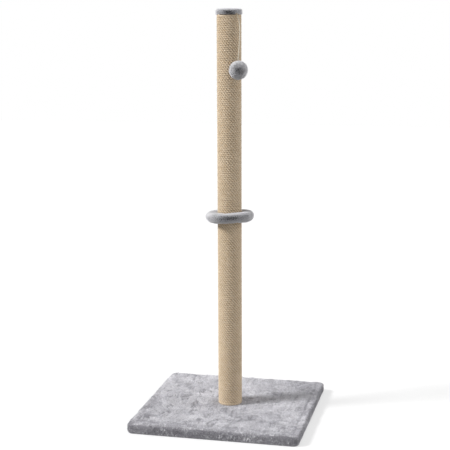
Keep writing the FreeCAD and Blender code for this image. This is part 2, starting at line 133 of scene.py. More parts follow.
# The hanging cord's route, from the knot's exit to a place in the ball's pile.
CORD_ROUTE = [
    (0.0287, -0.0237, 1.1625),
    (0.0306, -0.0244, 1.1559),
    (0.0362, -0.0257, 1.1415),
    (0.0377, -0.0310, 1.1100),
    (0.0369, -0.0372, 1.0759),
    (0.0359, -0.0426, 1.0470),
    (0.0361, -0.0454, 1.0313),
]


# ---------------------------------------------------------------- numbers on grids


def smooth_step(low, high, value):
    """0 below low, 1 above high, and a cubic ease between them."""
    t = np.clip((value - low) / (high - low), 0, 1)
    return t * t * (3 - 2 * t)


def hump(value, centre, width):
    """A bell of height 1 about centre."""
    return np.exp(-(((value - centre) / width) ** 2))


def ripple(points, size, seed, count=20):
    """A smooth random field of about -1 to 1: plane waves of one length in seeded random directions."""
    random = np.random.default_rng(seed)
    ways = random.normal(size=(count, points.shape[-1]))
    ways /= np.linalg.norm(ways, axis=1, keepdims=True)
    phases = random.uniform(0, TURN, count)
    flat = points.reshape(-1, points.shape[-1])
    field = np.cos(flat @ ways.T * (TURN / size) + phases).sum(1) * math.sqrt(2 / count) / 1.5
    return field.reshape(points.shape[:-1])


def ripples(points, layers):
    """Ripples added up, from the height, size and seed of each."""
    return sum(height * ripple(points, size, seed) for height, size, seed in layers)


def sway(points, size, seed):
    """A smooth random vector at each point, from the three seeds after the given one."""
    return np.stack([ripple(points, size, seed + k) for k in (1, 2, 3)], -1)


def waves(angle, layers):
    """Sine waves added up, from the height of each, how many go to a turn and where it starts."""
    return sum(height * np.sin(angle * often + start) for height, often, start in layers)


def clumps(points, size, seed):
    """Tufts of pile: rounded tops that meet in thin valleys, from -1 in a valley to 1 on a tuft."""
    warped = points + 0.35 * size * sway(points, 2 * size, seed)
    tops = np.abs(ripple(warped, 2 * size, seed)) ** 0.5
    return 1.2 * tops - 1 + 0.4 * ripple(points, 0.6 * size, seed + 4)


def unit(vectors):
    """Vectors brought to a length of 1."""
    return vectors / np.maximum(np.linalg.norm(vectors, axis=-1, keepdims=True), 1e-12)


def ring_ways(turn):
    """Level unit vectors at the given angles about the Z axis."""
    return np.stack([np.cos(turn), np.sin(turn), np.zeros(len(turn))], 1)


def turned(radius, height, turn):
    """A grid of points from their radii, heights and angles about the Z axis."""
    x, y = radius * np.cos(turn), radius * np.sin(turn)
    return np.stack([x, y, np.broadcast_to(height, x.shape)], -1)


def closed_round(grid, axes):
    """A grid with its first row or column again after its last, along each of the given axes."""
    for axis in axes:
        grid = np.concatenate([grid, grid.take([0], axis)], axis)
    return grid


def grid_normals(points, closed_rows=False, closed_columns=False):
    """Unit normals of a grid of points: the cross product of its two directions."""
    sides = []
    for axis, closed in ((0, closed_rows), (1, closed_columns)):
        if closed:
            sides.append(np.roll(points, -1, axis) - np.roll(points, 1, axis))
        else:
            sides.append(np.gradient(points, axis=axis))
    return unit(np.cross(sides[0], sides[1]))


def grid_quads(rows, columns, closed_rows=False, closed_columns=False, first=0):
    """The quads of a grid, and each corner's row and column counted without wrapping round."""
    across = np.arange(rows if closed_rows else rows - 1)
    along = np.arange(columns if closed_columns else columns - 1)
    i, j = (part.ravel() for part in np.meshgrid(across, along, indexing="ij"))
    places = np.stack([[i, j], [i, j + 1], [i + 1, j + 1], [i + 1, j]], 0).transpose(2, 0, 1)
    quads = first + (places[..., 0] % rows) * columns + places[..., 1] % columns
    return quads, places


def fan(centre, ring):
    """Triangles from one point to a closed ring of points."""
    return np.stack([np.full(len(ring), centre), ring, np.roll(ring, -1)], 1)


def shut_faces(rows, columns):
    """The quads of a grid closed round its columns, their corners' rows and columns, and the fans that
    shut its two ends on two more points."""
    quads, places = grid_quads(rows, columns, closed_columns=True)
    count = rows * columns
    first = np.arange(columns)
    fans = np.concatenate([fan(count, first[::-1]), fan(count + 1, first + count - columns)])
    return quads, places, fans


def signed_volume(points, quads, triangles):
    """The volume that faces enclose, negative where they point inwards."""
    three = np.concatenate([quads[:, :3], quads[:, [0, 2, 3]], triangles])
    a, b, c = (points[three[:, k]] for k in range(3))
    return float((a * np.cross(b, c)).sum() / 6)


def new_piece(name, points, quads, triangles, material, uv=None, nap_and_shade=None):
    """A smooth mesh object from arrays of points and faces, turned outwards, with its own UV map or
    attribute of nap and painted shade where a material follows the surface."""
    points = np.asarray(points, float).reshape(-1, 3)
    quads = np.asarray(quads, np.int32).reshape(-1, 4)
    triangles = np.asarray(triangles, np.int32).reshape(-1, 3)
    inwards = signed_volume(points - points.mean(0), quads, triangles) < 0
    if inwards:
        quads, triangles = quads[:, ::-1], triangles[:, ::-1]
    mesh = bpy.data.meshes.new(name)
    mesh.vertices.add(len(points))
    mesh.vertices.foreach_set("co", points.astype(np.float32).ravel())
    corners = np.concatenate([quads.ravel(), triangles.ravel()]).astype(np.int32)
    sizes = np.repeat([4, 3], [len(quads), len(triangles)])
    mesh.loops.add(len(corners))
    mesh.loops.foreach_set("vertex_index", corners)
    mesh.polygons.add(len(sizes))
    mesh.polygons.foreach_set("loop_start", (np.cumsum(sizes) - sizes).astype(np.int32))
    mesh.polygons.foreach_set("use_smooth", np.ones(len(sizes), bool))
    if uv is not None:
        quad_uv = uv[:, ::-1] if inwards else uv
        loose = np.zeros((3 * len(triangles), 2))
        corner_uv = np.concatenate([quad_uv.reshape(-1, 2), loose]).astype(np.float32)
        layer = mesh.uv_layers.new(name="strand")
        layer.data.foreach_set("uv", corner_uv.ravel())
    if nap_and_shade is not None:
        attribute = mesh.attributes.new("nap_and_shade", "FLOAT", "POINT")
        attribute.data.foreach_set("value", np.asarray(nap_and_shade, np.float32).ravel())
    mesh.update(calc_edges=True)
    mesh.materials.append(material)
    piece = bpy.data.objects.new(name, mesh)
    bpy.context.scene.collection.objects.link(piece)
    return piece


def pile(name, roots, ways, lengths, thick, material, seed, nap_and_shade):
    """Short fibres: a closed three-sided spike at each root, along its way, with a base of given size.
    Their nap attribute takes painted light at the tip and painted shade at the root, which less light
    reaches."""
    random = np.random.default_rng(seed)
    ways = unit(ways)
    side = unit(np.cross(ways, random.normal(size=ways.shape)))
    other = np.cross(ways, side)
    sink = roots - ways * thick
    corners = [sink + ways * lengths[:, None]]
    for turn in (0, TURN / 3, 2 * TURN / 3):
        corners.append(sink + thick * (math.cos(turn) * side + math.sin(turn) * other))
    points = np.stack(corners, 1).reshape(-1, 3)
    one = np.array([[0, 1, 2], [0, 2, 3], [0, 3, 1], [1, 3, 2]])
    triangles = (one + 4 * np.arange(len(roots))[:, None, None]).reshape(-1, 3)
    # Painted light at each fibre's tip and painted shade at its roots.
    shade = nap_and_shade[:, None] + np.array([TIP_PAINTED_LIGHT, ROOT_PAINTED_SHADE, ROOT_PAINTED_SHADE, ROOT_PAINTED_SHADE])
    return new_piece(name, points, (), triangles, material, nap_and_shade=shade)


def on_grid(values, rows, columns):
    """Values of a grid at fractional rows and columns, blended from the four corners round each."""
    i, j = np.floor(rows).astype(int), np.floor(columns).astype(int)
    i = np.clip(i, 0, values.shape[0] - 2)
    j = np.clip(j, 0, values.shape[1] - 2)
    s, t = rows - i, columns - j
    if values.ndim == 3:
        s, t = s[:, None], t[:, None]
    near = values[i, j] * (1 - t) + values[i, j + 1] * t
    far = values[i + 1, j] * (1 - t) + values[i + 1, j + 1] * t
    return near * (1 - s) + far * s


# ---------------------------------------------------------------- sizes and colours


class PlushSettings(bpy.types.PropertyGroup):
    """The grey plush and the pieces sewn from it."""

    # Dark is also the painted shade down in the pile and on the cloth under it.
    dark: FloatVectorProperty(
        name="Dark", description="Colour down in the pile", subtype="COLOR", default=(0.26, 0.253, 0.275)
    )
    light: FloatVectorProperty(
        name="Light", description="Colour of the brushed tips", subtype="COLOR", default=(0.935, 0.925, 0.95)
    )
    pile_length: FloatProperty(
        name="Pile", description="Length of the fibres", unit="LENGTH", default=0.0042
    )
    fibre_thick: FloatProperty(
        name="Fibre", description="Half the width of a bunch of fibres at its root", unit="LENGTH",
        default=0.00045
    )
    tuft: FloatProperty(
        name="Tuft", description="Size of a clump of pile", unit="LENGTH", default=0.0055
    )
    base_fibres: IntProperty(
        name="Base fibres", description="Fibres drawn on each half of the base, seen or not", default=72000
    )
    ring_fibres: IntProperty(name="Ring fibres", description="Fibres on each half of the ring", default=47000)
    cap_fibres: IntProperty(name="Cap fibres", description="Fibres on the cap", default=36000)
    crease_side: FloatProperty(
        name="Side crease", description="Distance of the pressed line from the sides", unit="LENGTH",
        default=0.019
    )
    crease_front: FloatProperty(
        name="Front crease", description="Distance of the pressed line from the front and back",
        unit="LENGTH", default=0.033
    )


class SisalSettings(bpy.types.PropertyGroup):
    """The rope wound on the post."""

    dark: FloatVectorProperty(
        name="Dark", description="Darkest fibres", subtype="COLOR", default=(0.45, 0.265, 0.085)
    )
    light: FloatVectorProperty(
        name="Light", description="Lightest fibres", subtype="COLOR", default=(1.0, 0.905, 0.76)
    )
    pitch: FloatProperty(
        name="Pitch", description="Height from one turn to the next", unit="LENGTH", default=0.006
    )
    lay: FloatProperty(
        name="Lay", description="Length in which a strand goes once round the rope", unit="LENGTH",
        default=0.02273
    )
    steps: IntProperty(name="Steps", description="Points along one turn of the rope", default=120)
    stray_fibres: IntProperty(name="Stray fibres", description="Loose hairs on each section", default=5000)


class ToySettings(bpy.types.PropertyGroup):
    """The hanging cord, its knot and the ball."""

    cord_colour: FloatVectorProperty(
        name="Cord", description="Colour of the cord", subtype="COLOR", default=(0.90, 0.81, 0.66)
    )
    cord_diameter: FloatProperty(
        name="Diameter", description="Diameter of the cord", unit="LENGTH", default=0.003
    )
    ball_fibres: IntProperty(name="Ball fibres", description="Fibres on the ball", default=46000)


class StageSettings(bpy.types.PropertyGroup):
    """Camera, light and floor."""

    camera_place: FloatVectorProperty(
        name="Camera", description="Where the camera stands", subtype="TRANSLATION",
        default=(0.7168, -3.1397, 1.1526)
    )
    heading: FloatProperty(
        name="Heading", description="Turn of the view from +Y towards +X", subtype="ANGLE",
        default=math.radians(-13.102)
    )
    pitch: FloatProperty(
        name="Pitch", description="Downward tilt of the view", subtype="ANGLE", default=math.radians(10.353)
    )
    roll: FloatProperty(
        name="Roll", description="Roll of the camera", subtype="ANGLE", default=math.radians(-0.239)
    )
    lens: FloatProperty(name="Lens", description="Focal length on a 36 mm sensor, in mm", default=90.46)
    key: FloatProperty(name="Key", description="Strength of the key light", default=2.9)
    sky: FloatProperty(name="Sky", description="Strength of the even light all round", default=0.45)


# ---------------------------------------------------------------- nodes


def feed(tree, socket, value):
    """Links a socket to another, or sets its own number or colour."""
    if isinstance(value, bpy.types.NodeSocket):
        tree.links.new(value, socket)
    elif hasattr(value, "__len__") and len(value) == 3 and socket.type == "RGBA":
        socket.default_value = (*value, 1)
    else:
        socket.default_value = value


def feed_all(tree, node, values):
    """Feeds a node's inputs by name or number."""
    for key, value in values.items():
        feed(tree, node.inputs[key], value)


def add_node(tree, kind, inputs=None, **settings):
    """A node with its settings, and inputs by name or number."""
    made = tree.nodes.new(f"ShaderNode{kind}")
    for name, setting in settings.items():
        setattr(made, name, setting)
    feed_all(tree, made, inputs or {})
    return made


def maths(tree, operation, first, second=0.0, clamp=False):
    """The result of one sum on two values."""
    made = add_node(tree, "Math", {0: first, 1: second}, operation=operation, use_clamp=clamp)
    return made.outputs[0]


def centred(tree, value, strength):
    """A value of 0 to 1 moved to lie about 0, times a strength."""
    return maths(tree, "MULTIPLY", maths(tree, "SUBTRACT", value, 0.5), strength)


def noise(tree, vector, scale, detail=2.0, roughness=0.5):
    """A noise texture's value, from 0 to 1."""
    inputs = {"Vector": vector, "Scale": scale, "Detail": detail, "Roughness": roughness}
    return add_node(tree, "TexNoise", inputs).outputs[0]


def blend_colours(tree, factor, first, second):
    """A colour between two, the first at 0 and the second at 1."""
    return add_node(tree, "Mix", {0: factor, 6: first, 7: second}, data_type="RGBA").outputs[2]


def mapped(tree, vector, scale):
    """A vector stretched along its axes."""
    return add_node(tree, "Mapping", {"Vector": vector, "Scale": scale}).outputs[0]


def new_group(name, inputs, outputs):
    """A shader node group with named sockets, and its two end nodes."""
    tree = bpy.data.node_groups.new(name, "ShaderNodeTree")
    for way, sockets in (("INPUT", inputs), ("OUTPUT", outputs)):
        for label, kind in sockets.items():
            tree.interface.new_socket(name=label, in_out=way, socket_type=f"NodeSocket{kind}")
    return tree, tree.nodes.new("NodeGroupInput").outputs, tree.nodes.new("NodeGroupOutput").inputs


def brushed_pile_group():
    """Brushed pile: broad patches that lean one way or the other, with the painted light and shade that the
    nap carries, clumps, and fine fibres.
    """
    inputs = {"Vector": "Vector", "Nap and shade": "Float", "Dark": "Color", "Light": "Color", "Contrast": "Float",
              "Grain": "Float"}
    tree, given, made = new_group("brushed_pile", inputs, {"Color": "Color", "Height": "Float"})
    clump = noise(tree, given["Vector"], scale=210.0, detail=3.0, roughness=0.6)
    fibre = noise(tree, given["Vector"], scale=950.0, detail=2.0, roughness=0.6)
    mixed = maths(tree, "ADD", maths(tree, "MULTIPLY", clump, 0.5), maths(tree, "MULTIPLY", fibre, 0.5))
    lean = maths(tree, "MULTIPLY", given["Nap and shade"], given["Contrast"])
    spread = maths(tree, "ADD", centred(tree, mixed, given["Grain"]), lean)
    factor = maths(tree, "ADD", spread, 0.5, clamp=True)
    feed(tree, made["Color"], blend_colours(tree, factor, given["Dark"], given["Light"]))
    feed(tree, made["Height"], mixed)
    return tree


def grain_group():
    """Streaks along one direction over broad stains: wood, board, cardboard, fibres or drawn metal."""
    inputs = {"Vector": "Vector", "Stretch": "Vector", "Dark": "Color", "Light": "Color", "Stain": "Float",
              "Rough": "Float"}
    outputs = {"Color": "Color", "Roughness": "Float", "Height": "Float"}
    tree, given, made = new_group("streaked_grain", inputs, outputs)
    stretched = add_node(tree, "VectorMath", {0: given["Vector"], 1: given["Stretch"]}, operation="MULTIPLY")
    streak = noise(tree, stretched.outputs[0], scale=1.0, detail=4.0, roughness=0.65)
    stain = noise(tree, given["Vector"], scale=28.0)
    spread = maths(tree, "ADD", centred(tree, streak, 2.2), centred(tree, stain, given["Stain"]))
    factor = maths(tree, "ADD", spread, 0.5, clamp=True)
    feed(tree, made["Color"], blend_colours(tree, factor, given["Dark"], given["Light"]))
    wear = maths(tree, "MULTIPLY", maths(tree, "SUBTRACT", 0.5, factor), 0.2)
    feed(tree, made["Roughness"], maths(tree, "ADD", given["Rough"], wear, clamp=True))
    feed(tree, made["Height"], streak)
    return tree


def strand_shade_group():
    """Shade between a rope's strands, from 0 in the line between two to 1 on top of one: the size of the
    cosine of half the strands' turns, eased."""
    inputs = {"Vector": "Vector", "Strands": "Float"}
    tree, given, made = new_group("strand_shade", inputs, {"Shade": "Float"})
    across = add_node(tree, "SeparateXYZ", {0: given["Vector"]}).outputs[1]
    turn = maths(tree, "MULTIPLY", maths(tree, "MULTIPLY", across, given["Strands"]), math.pi)
    top = maths(tree, "ABSOLUTE", maths(tree, "COSINE", turn))
    feed(tree, made["Shade"], maths(tree, "ADD", maths(tree, "MULTIPLY", top, 1.1), 0.12, clamp=True))
    return tree


def add_group(tree, name, maker, values):
    """The outputs of a node group of that name, made the first time it is asked for."""
    group = bpy.data.node_groups.get(name) or maker()
    return add_node(tree, "Group", values, node_tree=group).outputs


def new_material(name):
    """A node material, its tree and its Principled shader."""
    material = bpy.data.materials.new(name)
    material.use_nodes = True
    tree = material.node_tree
    return material, tree, tree.nodes["Principled BSDF"]


def bump(tree, height, strength, distance):
    """Normals that follow a height, given in parts of a distance in metres."""
    made = add_node(tree, "Bump", {"Height": height, "Strength": strength, "Distance": distance})
    return made.outputs[0]


def plush_material(name, contrast, grain, dark, light, clear=0.0):
    """Grey plush: dark between its fibres from painted shade on its cloth and roots, and bright at grazing
    angles from the shader's sheen. Where it is clear, light also passes through its fibres, which are thinner
    than the depth it reaches."""
    if name in bpy.data.materials:
        return bpy.data.materials[name]
    material, tree, shader = new_material(name)
    place = add_node(tree, "TexCoord").outputs["Object"]
    # The nap attribute carries the pile's brushing and its painted light and shade.
    nap_and_shade = add_node(tree, "Attribute", attribute_name="nap_and_shade").outputs["Fac"]
    values = {"Vector": place, "Nap and shade": nap_and_shade, "Dark": dark, "Light": light, "Contrast": contrast, "Grain": grain}
    pile_look = add_group(tree, "brushed_pile", brushed_pile_group, values)
    feed_all(tree, shader, {
        "Base Color": pile_look["Color"],
        "Normal": bump(tree, pile_look["Height"], 0.5, 0.0008),
        "Roughness": 0.95,
        "Specular IOR Level": 0.1,
        "Sheen Weight": 0.9,
        "Sheen Roughness": 0.5,
        "Sheen Tint": (0.93, 0.93, 1.0),
        "Subsurface Weight": clear,
        "Subsurface Radius": (1, 1, 1),
        "Subsurface Scale": FIBRE_DEPTH,
    })
    return material


def grained_material(name, stretch, dark, light, stain, rough, height, metal=0.0, sheen=0.0):
    """A finish from the streaked grain, on the piece's own coordinates."""
    if name in bpy.data.materials:
        return bpy.data.materials[name]
    material, tree, shader = new_material(name)
    place = add_node(tree, "TexCoord").outputs["Object"]
    values = {"Vector": place, "Stretch": stretch, "Dark": dark, "Light": light, "Stain": stain,
              "Rough": rough}
    grain = add_group(tree, "streaked_grain", grain_group, values)
    feed_all(tree, shader, {
        "Base Color": grain["Color"],
        "Roughness": grain["Roughness"],
        "Normal": bump(tree, grain["Height"], 0.4, height),
        "Metallic": metal,
        "Sheen Weight": sheen,
    })
    return material


def laid_material(name, dark, light, stretch, specks, patches):
    """A laid rope's finish on its own UV map, u along the rope in metres and v once round it: fibres
    along each strand, shade between strands, and turns that differ in tone."""
    if name in bpy.data.materials:
        return bpy.data.materials[name]
    material, tree, shader = new_material(name)
    coordinates = add_node(tree, "TexCoord").outputs
    along = coordinates["UV"]
    values = {"Vector": along, "Stretch": stretch, "Dark": dark, "Light": light, "Stain": 0.5, "Rough": 0.85}
    grain = add_group(tree, "streaked_grain", grain_group, values)
    shade = add_group(tree, "strand_shade", strand_shade_group, {"Vector": along, "Strands": STRANDS})
    turns = noise(tree, mapped(tree, along, (3.1, 0.0, 0.0)), scale=1.0, detail=3.0, roughness=0.7)
    around = mapped(tree, coordinates["Object"], (30.0, 30.0, 22.0))
    broad = noise(tree, around, scale=1.0, detail=4.0, roughness=0.7)
    speck = noise(tree, mapped(tree, along, (330.0, 9.0, 1.0)), scale=1.0, detail=1.0)
    tone = maths(tree, "ADD", maths(tree, "MULTIPLY", turns, 1.1), maths(tree, "MULTIPLY", broad, patches))
    mark = maths(tree, "MULTIPLY", maths(tree, "SUBTRACT", speck, 0.66, clamp=True), specks)
    weight = maths(tree, "MULTIPLY", maths(tree, "SUBTRACT", tone, mark), 1.1)
    level = maths(tree, "ADD", weight, 0.74 - 0.55 * patches)
    # Painted shade: between the strands the colour falls towards deep, a third of the dark colour.
    lit = maths(tree, "MULTIPLY", level, shade["Shade"], clamp=True)
    # Deep is the painted shade between the strands.
    deep = [0.35 * part for part in dark]
    feed_all(tree, shader, {
        "Base Color": blend_colours(tree, lit, deep, grain["Color"]),
        "Roughness": grain["Roughness"],
        "Normal": bump(tree, grain["Height"], 0.6, 0.0008),
        "Specular IOR Level": 0.1,
        "Sheen Weight": 0.05,
    })
    return material


# The finishes that take no settings: streaks to the metre along each axis, two colours, how stained and
# rough they are, the height of their grain, and whether they are metal or catch light as wool does.
FINISHES = {
    "polyester_wadding": {
        "stretch": (240.0, 240.0, 240.0), "dark": (0.70, 0.70, 0.68), "light": (0.90, 0.90, 0.88),
        "stain": 0.4, "rough": 0.95, "height": 0.001, "sheen": 0.4,
    },
    "black_liner": {
        "stretch": (420.0, 420.0, 420.0), "dark": (0.012, 0.012, 0.014), "light": (0.05, 0.05, 0.055),
        "stain": 0.4, "rough": 0.85, "height": 0.0003,
    },
    "fibreboard": {
        "stretch": (500.0, 500.0, 320.0), "dark": (0.33, 0.22, 0.13), "light": (0.60, 0.45, 0.30),
        "stain": 0.5, "rough": 0.8, "height": 0.0002,
    },
    "softwood": {
        "stretch": (260.0, 260.0, 16.0), "dark": (0.42, 0.28, 0.15), "light": (0.74, 0.58, 0.38),
        "stain": 0.5, "rough": 0.6, "height": 0.0002,
    },
    "spiral_cardboard": {
        "stretch": (90.0, 90.0, 420.0), "dark": (0.24, 0.16, 0.09), "light": (0.46, 0.33, 0.21),
        "stain": 0.7, "rough": 0.85, "height": 0.0003,
    },
    "zinc_steel": {
        "stretch": (700.0, 700.0, 60.0), "dark": (0.42, 0.43, 0.45), "light": (0.74, 0.75, 0.78),
        "stain": 0.4, "rough": 0.32, "height": 0.00005, "metal": 1.0,
    },
    "galvanised_wire": {
        "stretch": (160.0, 160.0, 900.0), "dark": (0.38, 0.38, 0.40), "light": (0.66, 0.67, 0.68),
        "stain": 0.4, "rough": 0.4, "height": 0.00004, "metal": 1.0,
    },
    "plain_brass": {
        "stretch": (800.0, 800.0, 80.0), "dark": (0.55, 0.38, 0.14), "light": (0.86, 0.66, 0.30),
        "stain": 0.4, "rough": 0.3, "height": 0.00005, "metal": 1.0,
    },
}
# The frame's parts that keep their own shape, under the finish that each takes.
BARE_PARTS = {
    "fibreboard": ("base_board", "cap_disc"),
    "softwood": ("lower_tube_plugs", "upper_tube_plugs"),
    "spiral_cardboard": ("lower_tube", "upper_tube"),
    "zinc_steel": ("base_bolt", "base_washer", "joining_stud", "cap_screw"),
    "galvanised_wire": ("base_staples", "cord_staple"),
    "plain_brass": ("threaded_inserts",),
}


def plain_finish(name):
    """One of the finishes that take no settings."""
    return grained_material(name, **FINISHES[name])


def base_plush():
    """The base's plush, brushed this way and that."""
    plush = bpy.context.scene.scratcher_plush
    return plush_material("brushed_grey_plush", contrast=0.42, grain=2.2, dark=plush.dark, light=plush.light)


def trim_plush():
    """The ring's, cap's and ball's plush: the same cloth, less trodden, with its ground painted darker as the
    shade between its fibres.
    """
    plush = bpy.context.scene.scratcher_plush
    # Painted shade: the trims' ground is a fifth of the dark colour, as the shade between their fibres.
    deep = [0.2 * part for part in plush.dark]
    return plush_material(
        "deep_grey_plush", contrast=0.34, grain=0.7, dark=deep, light=plush.light, clear=0.8
    )


def sisal():
    """The rope's finish, blotched and specked."""
    rope = bpy.context.scene.scratcher_sisal
    stretch = (90.0, 42.0, 1.0)
    return laid_material("natural_sisal", rope.dark, rope.light, stretch, specks=7.0, patches=1.8)


def loose_sisal():
    """The finish of the hairs that stand off the rope."""
    rope = bpy.context.scene.scratcher_sisal
    return grained_material(
        "loose_sisal", (60.0, 60.0, 90.0), rope.dark, rope.light, stain=0.8, rough=0.8, height=0.0001
    )


def cotton_cord():
    """The cord's finish, even and without specks."""
    colour = bpy.context.scene.scratcher_toy.cord_colour
    shaded = [0.72 * part for part in colour]
    return laid_material("cotton_cord", shaded, colour, (260.0, 30.0, 1.0), specks=0.0, patches=0.2)


# ---------------------------------------------------------------- base


def wrapped_profile(half, top, edge, foot, bottom, opening):
    """A cloth's section from the middle of a board's top, over its rounded edge, down its side and in
    under it: distance along the cloth, reach from the middle, and height."""
    over = np.linspace(0, TURN / 4, 24)
    level, under = np.linspace(0, half - edge, 200), np.linspace(half - foot, opening, 40)
    rounded = [half - edge + edge * np.sin(over), half - foot + foot * np.cos(over)]
    reach = np.concatenate([level, *rounded, under])
    rounded = [top - edge + edge * np.cos(over), bottom + foot - foot * np.sin(over)]
    height = np.concatenate([np.full_like(level, top), *rounded, np.full_like(under, bottom)])
    steps = np.hypot(np.diff(reach), np.diff(height))
    return np.concatenate([[0], np.cumsum(steps)]), reach, height


def wrapped_sheet(cells, profile, corner):
    """A square sheet wrapped round a board. Each square ring of the sheet takes the reach and height
    that the profile gives at its distance from the middle, with its corners rounded near the edge."""
    distance, reach, height = profile
    line = np.linspace(-1, 1, cells + 1)
    u, v = np.meshgrid(line, line, indexing="ij")
    ring = np.maximum(np.abs(u), np.abs(v))
    out = np.interp(ring * distance[-1], distance, reach)
    up = np.interp(ring * distance[-1], distance, height)
    across = np.abs(u) / np.maximum(ring, 1e-9) * out
    along = np.abs(v) / np.maximum(ring, 1e-9) * out
    half = reach.max()
    rounded_from = half - 0.09
    rounding = np.maximum(corner * smooth_step(rounded_from, half, out), 1e-6)
    straight = out - rounding
    ex = np.clip((across - straight) / rounding, 0, 1)
    ey = np.clip((along - straight) / rounding, 0, 1)
    angle = np.where(np.abs(u) >= np.abs(v), ey, 2 - ex) * TURN / 8
    x = np.sign(u) * (np.minimum(across, straight) + rounding * np.cos(angle))
    y = np.sign(v) * (np.minimum(along, straight) + rounding * np.sin(angle))
    middle = ring < 1e-9
    x[middle], y[middle] = 0, 0
    return np.stack([x, y, up], -1)


def edge_loop(cells, first):
    """The numbers of the points round the edge of a square grid, in order."""
    grid = first + np.arange((cells + 1) ** 2).reshape(cells + 1, cells + 1)
    return np.concatenate([grid[:-1, 0], grid[-1, :-1], grid[:0:-1, -1], grid[0, :0:-1]])


def stitched(fine, coarse):
    """Triangles that join two closed loops, where each coarse step spans the same number of fine ones."""
    share = len(fine) // len(coarse)
    ahead = np.roll(fine, -1)
    step = np.arange(len(fine)) // share
    late = np.arange(len(fine)) % share >= share // 2
    corner = np.where(late, np.roll(coarse, -1)[step], coarse[step])
    joins = np.stack([corner, fine, ahead], 1)
    halfway = fine[share // 2::share]
    return np.concatenate([joins, np.stack([coarse, halfway, np.roll(coarse, -1)], 1)])


def pressed_lines(points):
    """Where the base's pile is pressed down, from 0 to 1: a wandering line a little in from each edge,
    fainter in places, and a crease with a short hook at the back left."""
    plush = bpy.context.scene.scratcher_plush
    half = CAD_BOX[1].x
    x, y = points[..., 0], points[..., 1]
    wander = 0.0025 * ripple(points, 0.07, WANDER_SEED)
    strength = np.clip(0.6 + 0.5 * ripple(points, 0.12, FADE_SEED), 0.1, 1)
    side = hump(np.abs(x), half - plush.crease_side + wander, SIDE_LINE) * (np.abs(y) < half - 0.012)
    front = hump(np.abs(y), half - plush.crease_front + wander, FRONT_LINE) * (np.abs(x) < half - 0.02)
    side = side * np.where(x > 0, RIGHT_PRESS, LEFT_PRESS)
    front = front * np.where(y < 0, FRONT_PRESS, BACK_PRESS)
    fold = hump(x, FOLD_PLACE[0] + FOLD_SLANT * (FOLD_PLACE[1] - y) + 0.4 * wander, FOLD_WIDTH)
    fold = fold * smooth_step(*FOLD_START, y) * (1 - smooth_step(*FOLD_END, y))
    hook = hump(y, HOOK_PLACE[1] + HOOK_SLANT * (x - HOOK_PLACE[0]), HOOK_WIDTH)
    hook = hook * hump(x, HOOK_MIDDLE, HOOK_HALF)
    return np.maximum(strength * np.maximum(side, front), np.maximum(fold, hook))


def brush_marks(points):
    """Short curved marks of a hand or a paw in the pile, from 0 to 1: lines where a bent ripple crosses
    zero, broken up by another, longer from front to back, and denser towards the left."""
    drawn = points * BRUSHED
    bent = drawn + 0.010 * sway(drawn, 0.05, MARK_SEED)
    spread = smooth_step(-0.7, 0.5, ripple(points, 0.2, MARK_SEED + 5) - 3.0 * points[..., 0])
    broken = smooth_step(-0.1, 0.4, ripple(drawn, 0.036, MARK_SEED + 4)) * (0.25 + 0.75 * spread)
    broad = hump(ripple(bent, 0.032, MARK_SEED + 6), 0, 0.24)
    fine = hump(ripple(bent, 0.021, MARK_SEED + 7), 0, 0.28)
    return broken * np.maximum(broad, 0.8 * fine)


def base_relief(points, normals):
    """How far the base's pile stands off its backing: clumps and swirls, the pressed lines, fuller
    edges, and nothing under the post or under the board."""
    plush = bpy.context.scene.scratcher_plush
    above = smooth_step(0.003, 0.012, points[..., 2]) * (1 - smooth_step(0, 0.35, -normals[..., 2]))
    flat = smooth_step(0.6, 0.95, normals[..., 2])
    tufts = 0.0010 * clumps(points, plush.tuft, TUFT_SEED) * (1 + 0.6 * (1 - flat))
    pressed = 0.0026 * pressed_lines(points) + 0.0012 * brush_marks(points)
    relief = above * (tufts + flat * (ripples(points, BASE_SWIRLS) - pressed) + 0.0008 * (1 - flat))
    away = np.hypot(points[..., 0], points[..., 1])
    free = smooth_step(POST_RADIUS + 0.001, POST_RADIUS + 0.009, away)
    under_post = -0.0002
    return relief * free + under_post * (1 - free)


def base_nap_and_shade(points):
    """How the base's pile was brushed, from -1 (dark) to 1 (light), with painted light and shade: broad
    patches, curved strokes that are sharp on one side and fade on the other, clumps, and painted shade in the
    pressed lines. Painted light makes it lighter towards the back left and painted shade darker at the back
    right, where the post's shadow falls, and on the sides; it is darker in the front band, and the pile shows
    its clumps most in the front band and on the sides."""
    plush = bpy.context.scene.scratcher_plush
    half = CAD_BOX[1].x
    x, y = points[..., 0], points[..., 1]
    side = smooth_step(half - 0.006, half - 0.001, np.maximum(np.abs(x), np.abs(y)))
    band = smooth_step(0, 0.008, plush.crease_front - half - y)
    drawn = points * BRUSHED
    bent = drawn + 0.022 * sway(drawn, 0.10, NAP_SEED)
    trodden = smooth_step(-0.35, 0.5, ripple(points, 0.17, NAP_SEED + 7) - 1.2 * x)
    swept = np.mod(1.9 * ripple(bent, 0.044, NAP_SEED + 8), 1) ** 2
    tufts = (0.45 + 0.6 * band + 0.9 * side) * clumps(points, plush.tuft, TUFT_SEED)
    # The pressed lines darken the nap as painted shade in their creases; the strokes and sweeps are marks in
    # the pile.
    marks = 0.5 * trodden * swept + 2.0 * brush_marks(points) + 1.5 * pressed_lines(points)
    # Painted light and shade: lighter at the back left, darker at the back right where the post's shadow
    # falls, and darker on the sides; darker too in the front band.
    broad = smooth_step(0, half, y) * (0.3 - 4.5 * np.maximum(x + 0.02, 0)) - 0.3 * band - 0.5 * side
    faded = 1 - 0.5 * smooth_step(0.05, 0.2, y - 0.5 * x)
    return 0.62 + broad + ripples(bent, BASE_PATCHES) + tufts - marks * faded


